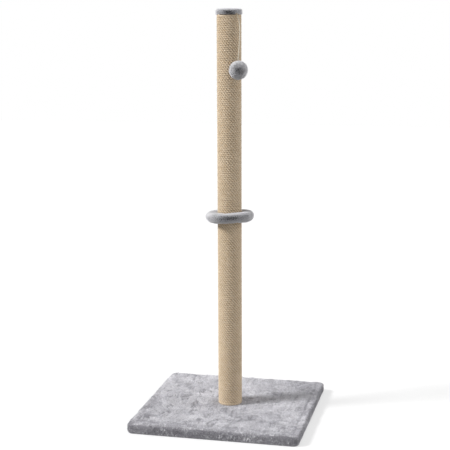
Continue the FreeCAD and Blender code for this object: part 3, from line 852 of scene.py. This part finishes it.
def make_base_cover():
    """The plush over the board: a fine outer sheet with its pile's relief and a plain inner one."""
    cover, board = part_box("base_cover")[1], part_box("base_board")
    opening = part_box("base_liner")[1].x + 0.002
    cells, back_cells = 280, 70
    profile = wrapped_profile(cover.x, cover.z, edge=0.008, foot=0.003, bottom=0.0, opening=opening)
    outer = wrapped_sheet(cells, profile, corner=0.016)
    normals = -grid_normals(outer)
    normals *= np.sign(normals[cells // 2, cells // 2, 2])
    outer = outer + normals * base_relief(outer, normals)[..., None]
    outer[..., 2] = np.maximum(outer[..., 2], 0)
    gap = 0.0003
    half, top, bottom = board[1].x + gap, board[1].z + gap, board[0].z - gap
    lining = wrapped_profile(half, top, edge=0.002, foot=0.0015, bottom=bottom, opening=opening)
    inner = wrapped_sheet(back_cells, lining, corner=0.0103)
    points = np.concatenate([outer.reshape(-1, 3), inner.reshape(-1, 3)])
    first = (cells + 1) ** 2
    quads, _ = grid_quads(cells + 1, cells + 1)
    back, _ = grid_quads(back_cells + 1, back_cells + 1, first=first)
    faces = np.concatenate([quads, back[:, ::-1]])
    rim = stitched(edge_loop(cells, 0), edge_loop(back_cells, first))
    # The base's cloth under the fibres takes painted shade, for the shade between them.
    piece = new_piece("base_plush", points, faces, rim, base_plush(), nap_and_shade=base_nap_and_shade(points) + SKIN_PAINTED_SHADE)
    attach(piece, "root")
    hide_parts("base_cover")
    tufts = [base_pile(outer, normals, half) for half in (0, 1)]


def base_pile(outer, normals, half):
    """Fibres over one half of the base, leaning the way that its pile was brushed."""
    plush = bpy.context.scene.scratcher_plush
    random = np.random.default_rng(SCATTER_SEED + half)
    cells = outer.shape[0] - 1
    count = plush.base_fibres
    rows = random.uniform(0, cells / 2, count) + half * cells / 2
    columns = random.uniform(0, cells, count)
    roots = on_grid(outer, rows, columns)
    ways = unit(on_grid(normals, rows, columns))
    lowest, thinned = 0.0045, 0.62
    shown = (roots[:, 2] > lowest) & (np.hypot(roots[:, 0], roots[:, 1]) > POST_RADIUS + 0.0015)
    shown &= random.uniform(size=count) < np.where(ways[:, 2] > 0.7, thinned, 1.0)
    roots, ways = roots[shown], ways[shown]
    nap_and_shade = base_nap_and_shade(roots)
    lean = sway(roots, 0.06, LEAN_SEED) * (1, 1, 0)
    ways = ways + 0.9 * lean + 0.25 * random.normal(size=ways.shape)
    lengths = plush.pile_length * random.uniform(0.6, 1.1, len(roots)) * (1 - 0.5 * pressed_lines(roots))
    tips = roots[:, 2] + unit(ways)[:, 2] * lengths
    ways[:, 2] = np.where(tips < 0.001, np.abs(ways[:, 2]), ways[:, 2])
    name = ("base_pile_left", "base_pile_right")[half]
    tufts = pile(name, roots, ways, lengths, plush.fibre_thick, base_plush(), FIBRE_SEED + half, nap_and_shade)
    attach(tufts, "root")
    return tufts


def make_base_liner():
    """The non-woven sheet under the board: a thin closed slab with a faint quilted relief."""
    low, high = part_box("base_liner")
    cells, quilt, relief = 90, 0.008, 0.0001
    line = np.linspace(low.x, high.x, cells + 1)
    x, y = np.meshgrid(line, line, indexing="ij")
    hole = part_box("base_washer")[1].x + 0.001
    quilted = relief * np.cos(x * TURN / quilt) * np.cos(y * TURN / quilt)
    lower = np.stack([x, y, low.z + 2 * relief + quilted], -1)
    upper = np.stack([x, y, np.full_like(x, high.z)], -1)
    points = np.concatenate([lower.reshape(-1, 3), upper.reshape(-1, 3)])
    count = (cells + 1) ** 2
    quads, _ = grid_quads(cells + 1, cells + 1)
    quads = quads[np.hypot(*points[quads].mean(1)[:, :2].T) > hole]
    rims = open_edges(quads)
    walls = np.concatenate([rims, rims[:, ::-1] + count], 1)
    faces = np.concatenate([quads, quads[:, ::-1] + count, walls])
    piece = new_piece("base_liner_sheet", points, faces, (), plain_finish("black_liner"))
    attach(piece, "root")
    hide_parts("base_liner")


def open_edges(quads):
    """The edges that only one quad has, turned round so that a wall on them faces outwards."""
    edges = np.concatenate([quads[:, [k, (k + 1) % 4]] for k in range(4)])
    _, number, count = np.unique(np.sort(edges, 1), axis=0, return_inverse=True, return_counts=True)
    return edges[count[number.ravel()] == 1][:, ::-1]


# ---------------------------------------------------------------- rope and cord


def laid_tube(centres, out, radius, lay, cut, flat=1.0, square=1.0, per_strand=4):
    """A laid rope along its centres: strands that turn once in each lay, each a rounded lobe, on a grid
    whose columns follow the strands. Its section reaches radius outwards and flat times that sideways,
    a power below 1 makes it squarer, and cut is how far the lines between strands go in."""
    ahead = unit(np.gradient(centres, axis=0))
    out = unit(out - ahead * (out * ahead).sum(1, keepdims=True))
    side = np.cross(ahead, out)
    gone = np.concatenate([[0], np.cumsum(np.linalg.norm(np.diff(centres, axis=0), axis=1))])
    uneven = gone[:, None] * (1.0, 0.4, 0.3)
    columns = STRANDS * per_strand
    lane = TURN * np.arange(columns) / columns
    angle = lane[None] + (gone * TURN / lay + 0.35 * ripple(uneven, 3.0, ROPE_SEED + 1))[:, None]
    lobes = 1 - cut * (1 - np.abs(np.cos(lane * STRANDS / 2)) ** 0.7)
    swell = 1 + 0.03 * ripple(uneven, 0.045, ROPE_SEED) + 0.02 * ripple(uneven, 0.013, ROPE_SEED + 2)
    reach = radius * (lobes[None] * swell[:, None])[..., None]
    c, s = np.cos(angle)[..., None], np.sin(angle)[..., None]
    c, s = np.sign(c) * np.abs(c) ** square, np.sign(s) * np.abs(s) ** square
    return centres[:, None] + reach * (c * out[:, None] + flat * s * side[:, None]), gone


def rope_piece(name, points, gone, material):
    """A closed tube from a grid of section rings, with its ends fanned shut and a UV map that runs
    along the rope in metres and once round it."""
    rows, columns = points.shape[:2]
    quads, places, fans = shut_faces(rows, columns)
    ends = points[[0, -1]].mean(1)
    uv = np.stack([gone[places[..., 0]], places[..., 1] / columns], -1)
    return new_piece(name, np.concatenate([points.reshape(-1, 3), ends]), quads, fans, material, uv=uv)


def make_wrap(node, section):
    """One section's rope, in two joined lengths: a right-handed helix of close turns, whose first and
    last turns lie level and run into their neighbours."""
    rope = bpy.context.scene.scratcher_sisal
    low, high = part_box(node)
    half_thick = (high.x - TUBE_RADIUS) / 2 - 0.0001
    radius = high.x - half_thick
    bottom, top = low.z + half_thick, high.z - half_thick
    turns = (top - bottom) / rope.pitch + 2
    total = int(turns * rope.steps)
    angle = np.linspace(0, turns * TURN, total)
    out = ring_ways(angle + ROPE_START)
    centres = out * (radius + waves(angle, ROPE_SWAY))[:, None]
    climb = np.clip(bottom + rope.pitch * (angle / TURN - 1), bottom, top)
    centres[:, 2] = climb + waves(angle, ROPE_RISE)
    points, gone = laid_tube(centres, out, half_thick, rope.lay, SISAL_CUT, flat=1.25, square=0.6)
    cut = total // 2
    for number, part in enumerate((slice(0, cut + 1), slice(cut, total)), start=1):
        piece = rope_piece(f"{section}_sisal_rope_{number}", points[part], gone[part], sisal())
        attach(piece, "root")
        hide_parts(node)


def make_stray_fibres():
    """Hairs that have worked loose from the rope: thin spikes that lie along its strands and stand out a
    little."""
    random = np.random.default_rng(STRAY_SEED)
    for node, section in SECTIONS.items():
        low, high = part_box(node)
        count = bpy.context.scene.scratcher_sisal.stray_fibres
        turn = random.uniform(0, TURN, count)
        height = random.uniform(low.z + 0.004, high.z - 0.004, count)
        out = ring_ways(turn)
        along = np.stack([-np.sin(turn), np.cos(turn), np.zeros(count)], 1)
        slope = random.normal(-0.7, 0.6, count)[:, None]
        ways = along + slope * (0, 0, 1) + random.uniform(0.05, 0.45, (count, 1)) * out
        ways *= np.sign(random.normal(size=(count, 1)))
        ways += 2 * out * np.maximum(0, -(ways * out).sum(1, keepdims=True))
        roots = out * (high.x - 0.0006)
        roots[:, 2] = height
        lengths = random.uniform(0.003, 0.008, count)
        name = f"{section}_stray_fibres"
        hairs = pile(name, roots, ways, lengths, HAIR_THICK, loose_sisal(), STRAY_SEED + 1, 0 * turn)
        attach(hairs, "root")


def spline_points(points, samples):
    """Points along the smooth line that a second-order NURBS spline draws between its control points."""
    curve = bpy.data.curves.new("route", "CURVE")
    curve.dimensions = "3D"
    curve.resolution_u = samples
    spline = curve.splines.new("NURBS")
    spline.points.add(len(points) - 1)
    for place, point in zip(spline.points, points):
        place.co = (*point, 1)
    spline.order_u = 3
    spline.use_endpoint_u = True
    route = bpy.data.objects.new("route", curve)
    mesh = bpy.data.meshes.new_from_object(route)
    line = np.array([v.co for v in mesh.vertices], float)
    bpy.data.objects.remove(route)
    bpy.data.curves.remove(curve)
    bpy.data.meshes.remove(mesh)
    return line


def make_cord():
    """The toy's cord: it leaves its knot under the cap's rim, bows a little to the right as a limp
    cord does, and goes through the pile into the top of the ball."""
    toy = bpy.context.scene.scratcher_toy
    line = spline_points(CORD_ROUTE, 48)
    out = np.tile([1.0, 0.0, 0.0], (len(line), 1))
    points, gone = laid_tube(line, out, toy.cord_diameter / 2, CORD_LAY, COTTON_CUT, per_strand=5)
    piece = rope_piece("hanging_cord", points, gone, cotton_cord())
    knot = make_knot((BALL_CENTRE - KNOT_CENTRE).normalized())
    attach(piece, "toy")
    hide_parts("toy_cord")


def make_knot(down):
    """The overhand knot at the cord's upper end: one trefoil turn, x = sin t + 2 sin 2t,
    y = cos t - 2 cos 2t and z = -sin 3t, stretched along the cord and pulled tight."""
    low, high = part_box("cord_knot")
    size = (high.z - low.z) / 2
    thick = KNOT_THICK * size
    t = np.linspace(0, TURN, 180)
    level = [np.sin(t) + 2 * np.sin(2 * t), np.cos(t) - 2 * np.cos(2 * t)]
    trefoil = np.stack([*level, -TREFOIL_DEPTH * np.sin(3 * t)], 1)
    facing = np.array((Vector((0, 0, 1)).rotation_difference(down)).to_matrix())
    centres = trefoil * ((size - thick) / TREFOIL_REACH) @ facing.T + np.array(KNOT_CENTRE)
    ahead = unit(np.gradient(centres, axis=0))
    out = np.cross(ahead, np.tile(np.array(down), (len(t), 1)))
    points, gone = laid_tube(centres, out, thick, KNOT_LAY, COTTON_CUT)
    piece = rope_piece("cord_knot_turns", points, gone, cotton_cord())
    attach(piece, "knot")
    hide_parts("cord_knot")
    return piece


# ---------------------------------------------------------------- ring, cap and ball


def ring_surface(centre, inner, outer, thick, rows, columns):
    """A stuffed ring: an oval section, a little squarer than an ellipse, carried round the Z axis."""
    turn = TURN * np.arange(rows) / rows
    round_section = TURN * np.arange(columns) / columns
    c, s = np.cos(round_section), np.sin(round_section)
    power = 0.88
    across = (outer - inner) / 2 * np.sign(c) * np.abs(c) ** power
    up = thick / 2 * np.sign(s) * np.abs(s) ** power
    return turned(((outer + inner) / 2 + across)[None], centre + up, turn[:, None])


def ring_tilt(points):
    """The ring hangs a little askew on the post: its height grows towards the front and the right."""
    tilted = points.copy()
    tilted[..., 2] += TILT_RIGHT * points[..., 0] - TILT_FRONT * points[..., 1]
    return tilted


def make_ring():
    """The ring's plush with its lumps and tufts, its fibres, and the wadding inside it."""
    plush = bpy.context.scene.scratcher_plush
    low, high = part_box("ring_cover")
    centre = (low.z + high.z) / 2
    thick = high.z - low.z - 2 * RING_PILE - 0.0018
    clear, outer = POST_RADIUS + ROPE_CLEAR, high.x - RING_PILE - 0.0004
    rows, columns = 220, 60
    surface = ring_surface(centre, clear, outer, thick, rows, columns)
    normals = grid_normals(surface, True, True)
    normals *= np.sign(normals[0, 0, 0])
    tufts = 0.0005 * clumps(surface, 0.8 * plush.tuft, RING_SEED + 3)
    free = smooth_step(clear + 0.001, clear + 0.008, np.hypot(surface[..., 0], surface[..., 1]))
    surface = ring_tilt(surface + normals * ((ripples(surface, RING_LUMPS) + tufts) * free)[..., None])
    quads, _ = grid_quads(rows, columns, True, True)
    # The ring's cloth takes painted shade, for the shade between its fibres.
    nap_and_shade = 0.3 * ripple(surface, 0.03, RING_SEED + 4) + DEEP_PAINTED_SHADE
    piece = new_piece("ring_plush", surface, quads, (), trim_plush(), nap_and_shade=nap_and_shade)
    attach(piece, "ring")
    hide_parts("ring_cover")
    closed, closed_normals = closed_round(surface, (0, 1)), closed_round(normals, (0, 1))
    halves = {"ring_pile_back": slice(0, rows // 2 + 1), "ring_pile_front": slice(rows // 2, rows + 1)}
    for seed, (name, half) in enumerate(halves.items(), start=RING_SEED + 10):
        fibres = trim_pile(
            name, closed[half], closed_normals[half], plush.ring_fibres, RING_PILE, RING_THICK, seed
        )
        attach(fibres, "ring")
    wall, rows, columns = 0.0025, 120, 36
    stuffing = ring_surface(centre, clear + wall, outer - wall, thick - 2 * wall, rows, columns)
    rough = 0.0005 * ripple(stuffing, 0.012, RING_SEED + 5)[..., None] * unit(stuffing * (1, 1, 0))
    quads, _ = grid_quads(rows, columns, True, True)
    stuffing = ring_tilt(stuffing + rough)
    filling = new_piece("ring_wadding", stuffing, quads, (), plain_finish("polyester_wadding"))
    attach(filling, "ring")
    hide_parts("ring_stuffing")


def rope_distance(points, turns):
    """The least distance from the post's axis that points come to while they turn round the knot."""
    x, y = points[:, :1] - KNOT_CENTRE.x, points[:, 1:2] - KNOT_CENTRE.y
    c, s = np.cos(turns), np.sin(turns)
    return np.hypot(KNOT_CENTRE.x + c * x - s * y, KNOT_CENTRE.y + s * x + c * y).min(1)


def trim_pile(name, surface, normals, count, length, thick, seed, turns=(0.0,)):
    """Fibres that stand up from a small plush piece, dense enough that only a straight look down into
    them meets the cloth, painted dark as the shade between them. Those beside the rope lean away from it or
    are shorter, at each of the given turns of the piece round the knot, and none enters it."""
    random = np.random.default_rng(seed)
    rows = random.uniform(0, surface.shape[0] - 1, count)
    columns = random.uniform(0, surface.shape[1] - 1, count)
    roots = on_grid(surface, rows, columns)
    ways = unit(on_grid(normals, rows, columns))
    lean = sway(roots, 0.02, seed)
    ways = unit(ways + 0.06 * lean + 0.10 * random.normal(size=ways.shape))
    lengths = length * random.uniform(0.75, 1.08, len(roots))
    rope_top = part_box("upper_sisal_wrap")[1].z + ROPE_CLEAR
    beside = roots[:, 2] + np.minimum(ways[:, 2], 0) * lengths < rope_top
    away = np.hypot(roots[:, 0], roots[:, 1])
    out = roots * (1, 1, 0) / away[:, None]
    spare = (away - POST_RADIUS - ROPE_CLEAR) / lengths
    inwards = -(ways * out).sum(1)
    bend = np.where(beside, np.maximum(inwards - np.maximum(spare, 0), 0), 0)
    ways = unit(ways + out * bend[:, None])
    reach = rope_distance(roots + ways * lengths[:, None], turns)
    trimmed = lengths - 1.1 * np.maximum(POST_RADIUS + ROPE_CLEAR - reach, 0)
    lengths = np.where(beside, np.maximum(trimmed, 0.3 * length), lengths)
    inside = rope_distance(roots + ways * lengths[:, None], turns) < POST_RADIUS + 0.5 * ROPE_CLEAR
    inside |= away < POST_RADIUS + 2 * ROPE_CLEAR
    kept = ~(beside & inside)
    roots, ways, lengths = roots[kept], ways[kept], lengths[kept]
    nap_and_shade = 0.9 + 0.15 * ripple(roots, 0.03, seed - 6)
    return pile(name, roots, ways, lengths, thick, trim_plush(), seed + 5, nap_and_shade)


def even_profile(points, count):
    """Points spaced evenly along a line of radius and height."""
    reach = np.cumsum(np.linalg.norm(np.diff(points, axis=0, prepend=points[:1]), axis=1))
    even = np.linspace(0, reach[-1], count)
    return np.stack([np.interp(even, reach, points[:, k]) for k in range(2)], 1)


def cap_profile(inner, outer, bottom, ceiling, top):
    """The cap's section from the middle of its top, over its soft edge, down its skirt, round the lip
    and in under the disc's top: radius and height."""
    soft, crown = 0.0052, 0.0006
    over, round_lip = np.linspace(0, TURN / 4, 16), np.linspace(0, TURN / 2, 16)
    lip = (outer - inner) / 2
    line = [
        [(0.0, top + crown), (outer - soft, top)],
        np.stack([outer - soft + soft * np.sin(over), top - soft + soft * np.cos(over)], 1),
        np.stack([inner + lip + lip * np.cos(round_lip), bottom + lip - lip * np.sin(round_lip)], 1),
        [(inner, ceiling), (0.0, ceiling)],
    ]
    return even_profile(np.concatenate(line), 90)


def make_cap():
    """The plush cap: a soft-edged top and skirt over the disc, arched over the cord's knot."""
    plush = bpy.context.scene.scratcher_plush
    low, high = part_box("cap_cover")
    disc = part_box("cap_disc")[1]
    outer, top, bottom = high.x - CAP_PILE + 0.0009, high.z - CAP_PILE + 0.0008, low.z + 0.0003
    inner, ceiling = disc.x + 0.0003, disc.z + 0.0002
    radius, height = cap_profile(inner, outer, bottom, ceiling, top)[1:-1].T[..., None]
    columns = 220
    surface = turned(radius, height, TURN * np.arange(columns) / columns)
    normals = grid_normals(surface, closed_columns=True)
    normals *= np.sign(normals[2, 0, 2])
    x, y, z = surface[..., 0], surface[..., 1], surface[..., 2]
    away = np.hypot(x - KNOT_CENTRE.x, y - KNOT_CENTRE.y)
    arch = 0.0052 * (1 - smooth_step(0.0028, 0.0062, away)) * (1 - smooth_step(bottom, bottom + 0.012, z))
    outside = smooth_step(inner + 0.0008, inner + 0.003, np.hypot(x, y)) + (z > ceiling + 0.001)
    tufts = 0.0003 * clumps(surface, 0.8 * plush.tuft, CAP_SEED + 1)
    tufts = tufts + 0.0005 * ripple(surface, 0.018, CAP_SEED + 2)
    surface = surface + normals * (tufts * np.clip(outside, 0, 1))[..., None]
    surface[..., 2] += arch
    rows = len(surface)
    quads, _, fans = shut_faces(rows, columns)
    ends = [(0, 0, surface[0, :, 2].mean()), (0, 0, surface[-1, :, 2].mean())]
    points = np.concatenate([surface.reshape(-1, 3), ends])
    # The cap's cloth takes painted shade, for the shade between its fibres.
    nap_and_shade = 0.3 * ripple(points, 0.03, CAP_SEED + 4) + DEEP_PAINTED_SHADE
    piece = new_piece("cap_plush", points, quads, fans, trim_plush(), nap_and_shade=nap_and_shade)
    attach(piece, "root")
    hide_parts("cap_cover")
    shown = int(0.62 * rows)
    around, around_normals = (closed_round(grid, (1,))[:shown] for grid in (surface, normals))
    fibres = trim_pile(
        "cap_pile", around, around_normals, plush.cap_fibres, CAP_PILE, CAP_THICK, CAP_SEED + 10
    )
    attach(fibres, "root")


def ball_grid(radius, rows, columns):
    """A ball about the origin, from just below its upper pole to just above its lower one."""
    slant = math.pi * (np.arange(rows) + 1) / (rows + 1)
    turn = TURN * np.arange(columns) / columns
    return turned(radius * np.sin(slant)[:, None], radius * np.cos(slant)[:, None], turn)


def with_poles(surface, radius):
    """The points of a ball's surface, followed by its two poles."""
    return np.concatenate([surface.reshape(-1, 3), [(0, 0, radius), (0, 0, -radius)]])


def make_ball():
    """The plush ball with its tufts and fibres, and the wadding inside it."""
    plush, toy = bpy.context.scene.scratcher_plush, bpy.context.scene.scratcher_toy
    centre = np.array(BALL_CENTRE)
    skin = (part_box("ball_cover")[1] - BALL_CENTRE).z + 0.0010 - BALL_PILE
    rows, columns = 80, 120
    surface = ball_grid(skin, rows, columns)
    normals = unit(surface)
    tufts = 0.0004 * clumps(surface, 0.7 * plush.tuft, BALL_SEED + 1)
    tufts = tufts + 0.0003 * ripple(surface, 0.02, BALL_SEED + 2)
    surface = surface + normals * tufts[..., None]
    quads, _, fans = shut_faces(rows, columns)
    points = with_poles(surface, skin)
    # The ball's cloth takes painted shade, for the shade between its fibres.
    nap_and_shade = 0.3 * ripple(points, 0.03, BALL_SEED + 4) + DEEP_PAINTED_SHADE
    piece = new_piece("ball_plush", points + centre, quads, fans, trim_plush(), nap_and_shade=nap_and_shade)
    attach(piece, "toy")
    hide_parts("ball_cover")
    around, around_normals = closed_round(surface, (1,)) + centre, closed_round(normals, (1,))
    turns = np.linspace(*np.radians(JOINTS["toy_turn"]["range_deg"]), 9)
    fibres = trim_pile(
        "ball_pile", around, around_normals, toy.ball_fibres, BALL_PILE, BALL_THICK, BALL_SEED + 10, turns
    )
    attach(fibres, "toy")
    core, rows, columns = skin - 0.0016, 40, 60
    stuffing = ball_grid(core, rows, columns)
    stuffing = stuffing + 0.0003 * ripple(stuffing, 0.01, BALL_SEED + 4)[..., None] * unit(stuffing)
    quads, _, fans = shut_faces(rows, columns)
    points = with_poles(stuffing, core) + centre
    filling = new_piece("ball_wadding", points, quads, fans, plain_finish("polyester_wadding"))
    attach(filling, "toy")
    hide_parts("ball_core")


# ---------------------------------------------------------------- stage


def camera_matrix(place, heading, pitch, roll):
    """Looks along +Y turned by heading towards +X, tilted down by pitch and rolled about that view."""
    reach = math.cos(pitch)
    ahead = Vector((math.sin(heading) * reach, math.cos(heading) * reach, -math.sin(pitch)))
    level = Vector((math.cos(heading), -math.sin(heading), 0))
    up = level.cross(ahead)
    right = math.cos(roll) * level + math.sin(roll) * up
    top = math.cos(roll) * up - math.sin(roll) * level
    facing = Matrix((right, top, -ahead)).transposed().to_4x4()
    return Matrix.Translation(place) @ facing


def floor_material():
    """A pale floor that is white to the eye and keeps the post's shadow: lit, with a little light of
    its own where it is seen directly, in a mirror or through glass."""
    material, tree, shader = new_material("pale_floor")
    tree.nodes.remove(shader)
    seen = seen_directly(tree)
    place = add_node(tree, "TexCoord").outputs["Object"]
    colour = blend_colours(tree, noise(tree, place, 3.0), (0.46, 0.46, 0.46), (0.47, 0.47, 0.47))
    lit = add_node(tree, "BsdfDiffuse", {"Color": colour}).outputs[0]
    own_light = maths(tree, "MULTIPLY", seen, 0.56)
    glow = add_node(tree, "Emission", {"Color": (1, 1, 1), "Strength": own_light})
    both = add_node(tree, "AddShader", {0: lit, 1: glow.outputs[0]}).outputs[0]
    tree.links.new(both, tree.nodes["Material Output"].inputs["Surface"])
    return material


def seen_directly(tree):
    """1 on rays that come from the camera, a mirror or through glass, and 0 on all others."""
    path = add_node(tree, "LightPath").outputs
    sharp = maths(tree, "MAXIMUM", path["Is Glossy Ray"], path["Is Transmission Ray"])
    return maths(tree, "MAXIMUM", path["Is Camera Ray"], sharp)


def make_floor():
    """A broad level square a little under the base."""
    half, level = 9.0, -0.0004
    points = [(x * half, y * half, level) for x, y in ((-1, -1), (1, -1), (1, 1), (-1, 1))]
    mesh = bpy.data.meshes.new("floor")
    mesh.from_pydata(points, [], [(0, 1, 2, 3)])
    mesh.materials.append(floor_material())
    floor = bpy.data.objects.new("floor", mesh)
    bpy.context.scene.collection.objects.link(floor)


def make_world(strength):
    """An even sky that lights the object, and is white where it is seen."""
    world = bpy.data.worlds.new("studio")
    world.use_nodes = True
    tree = world.node_tree
    background = tree.nodes["Background"]
    background.inputs["Color"].default_value = (1, 1, 1, 1)
    seen = seen_directly(tree)
    level = maths(tree, "ADD", maths(tree, "MULTIPLY", seen, 1.0 - strength), strength)
    feed(tree, background.inputs["Strength"], level)
    bpy.context.scene.world = world


def add_light(name, bearing, rise, softness, strength):
    """A broad far light that shines from a bearing, turned from +X towards +Y, and a height above the
    horizon, both in degrees. Its softness is the width that it seems to have, in degrees."""
    light = bpy.data.lights.new(name, "SUN")
    light.energy = strength
    light.angle = math.radians(softness)
    lamp = bpy.data.objects.new(name, light)
    turn, tilt = math.radians(bearing), math.radians(rise)
    back = Vector((math.cos(turn) * math.cos(tilt), math.sin(turn) * math.cos(tilt), math.sin(tilt)))
    distance = 3
    lamp.location = distance * back
    lamp.rotation_mode = "QUATERNION"
    lamp.rotation_quaternion = (-back).to_track_quat("-Z", "Y")
    bpy.context.scene.collection.objects.link(lamp)


def make_stage():
    """The camera at the photograph's view, the key light from the front left, the sky and the floor."""
    scene, stage = bpy.context.scene, bpy.context.scene.scratcher_stage
    data = bpy.data.cameras.new("camera")
    data.sensor_width = 36
    data.lens = stage.lens
    camera = bpy.data.objects.new("camera", data)
    camera.matrix_world = camera_matrix(Vector(stage.camera_place), stage.heading, stage.pitch, stage.roll)
    scene.collection.objects.link(camera)
    scene.camera = camera
    scene.view_settings.view_transform = "Standard"
    add_light("key", bearing=207, rise=37, softness=14, strength=stage.key)
    add_light("fill", bearing=12, rise=20, softness=36, strength=0.36 * stage.key)
    make_world(stage.sky)
    make_floor()


# ---------------------------------------------------------------- operators and panel


class SCRATCHER_OT_stage(bpy.types.Operator):
    """Set up the camera, the lights and the floor"""

    bl_idname = "scratcher.stage"
    bl_label = "Stage"

    def execute(self, context):
        make_stage()
        return {"FINISHED"}


class SCRATCHER_OT_toy_cord(bpy.types.Operator):
    """Hang the toy's cord from its knot"""

    bl_idname = "scratcher.toy_cord"
    bl_label = "Cord and knot"

    def execute(self, context):
        make_cord()
        return {"FINISHED"}


class SCRATCHER_OT_base(bpy.types.Operator):
    """Wrap the base's board in plush and lay the liner under it"""

    bl_idname = "scratcher.base"
    bl_label = "Base plush and liner"

    def execute(self, context):
        make_base_cover()
        make_base_liner()
        return {"FINISHED"}


class SCRATCHER_OT_wraps(bpy.types.Operator):
    """Wind sisal rope on both sections of the post"""

    bl_idname = "scratcher.wraps"
    bl_label = "Sisal wraps"

    def execute(self, context):
        for node, section in SECTIONS.items():
            make_wrap(node, section)
        make_stray_fibres()
        return {"FINISHED"}


class SCRATCHER_OT_ring(bpy.types.Operator):
    """Stuff the ring round the post"""

    bl_idname = "scratcher.ring"
    bl_label = "Stuffed ring"

    def execute(self, context):
        make_ring()
        return {"FINISHED"}


class SCRATCHER_OT_cap(bpy.types.Operator):
    """Cover the cap in plush"""

    bl_idname = "scratcher.cap"
    bl_label = "Cap"

    def execute(self, context):
        make_cap()
        return {"FINISHED"}


class SCRATCHER_OT_ball(bpy.types.Operator):
    """Make the plush ball"""

    bl_idname = "scratcher.ball"
    bl_label = "Ball"

    def execute(self, context):
        make_ball()
        return {"FINISHED"}


class SCRATCHER_OT_bare_parts(bpy.types.Operator):
    """Give the board, tubes, plugs and fasteners their finish"""

    bl_idname = "scratcher.bare_parts"
    bl_label = "Bare parts"

    def execute(self, context):
        for name, nodes in BARE_PARTS.items():
            for node in nodes:
                materials = frame["nodes"][node].data.materials
                materials.clear()
                materials.append(plain_finish(name))
        return {"FINISHED"}


OPERATORS = (
    SCRATCHER_OT_stage,
    SCRATCHER_OT_toy_cord,
    SCRATCHER_OT_base,
    SCRATCHER_OT_wraps,
    SCRATCHER_OT_ring,
    SCRATCHER_OT_cap,
    SCRATCHER_OT_ball,
    SCRATCHER_OT_bare_parts,
)
SETTINGS = {
    "scratcher_plush": PlushSettings,
    "scratcher_sisal": SisalSettings,
    "scratcher_toy": ToySettings,
    "scratcher_stage": StageSettings,
}


class SCRATCHER_PT_panel(bpy.types.Panel):
    """Lists the pieces and their sizes in the 3D view's sidebar"""

    bl_idname = "SCRATCHER_PT_panel"
    bl_label = "Scratching post"
    bl_space_type = "VIEW_3D"
    bl_region_type = "UI"
    bl_category = "Scratching post"

    def draw(self, context):
        for operator in OPERATORS:
            self.layout.operator(operator.bl_idname)
        for name, group in SETTINGS.items():
            box = self.layout.box()
            for setting in group.__annotations__:
                box.prop(getattr(context.scene, name), setting)


def register():
    for group in (*SETTINGS.values(), *OPERATORS, SCRATCHER_PT_panel):
        bpy.utils.register_class(group)
    for name, group in SETTINGS.items():
        setattr(bpy.types.Scene, name, PointerProperty(type=group))


def unregister():
    for name in SETTINGS:
        delattr(bpy.types.Scene, name)
    for group in (SCRATCHER_PT_panel, *reversed(OPERATORS), *SETTINGS.values()):
        bpy.utils.unregister_class(group)


def main():
    """Registers the settings, operators and panel, and builds every piece in order."""
    register()
    for operator in OPERATORS:
        group, name = operator.bl_idname.split(".")
        getattr(getattr(bpy.ops, group), name)()


if __name__ == "__main__":
    main()
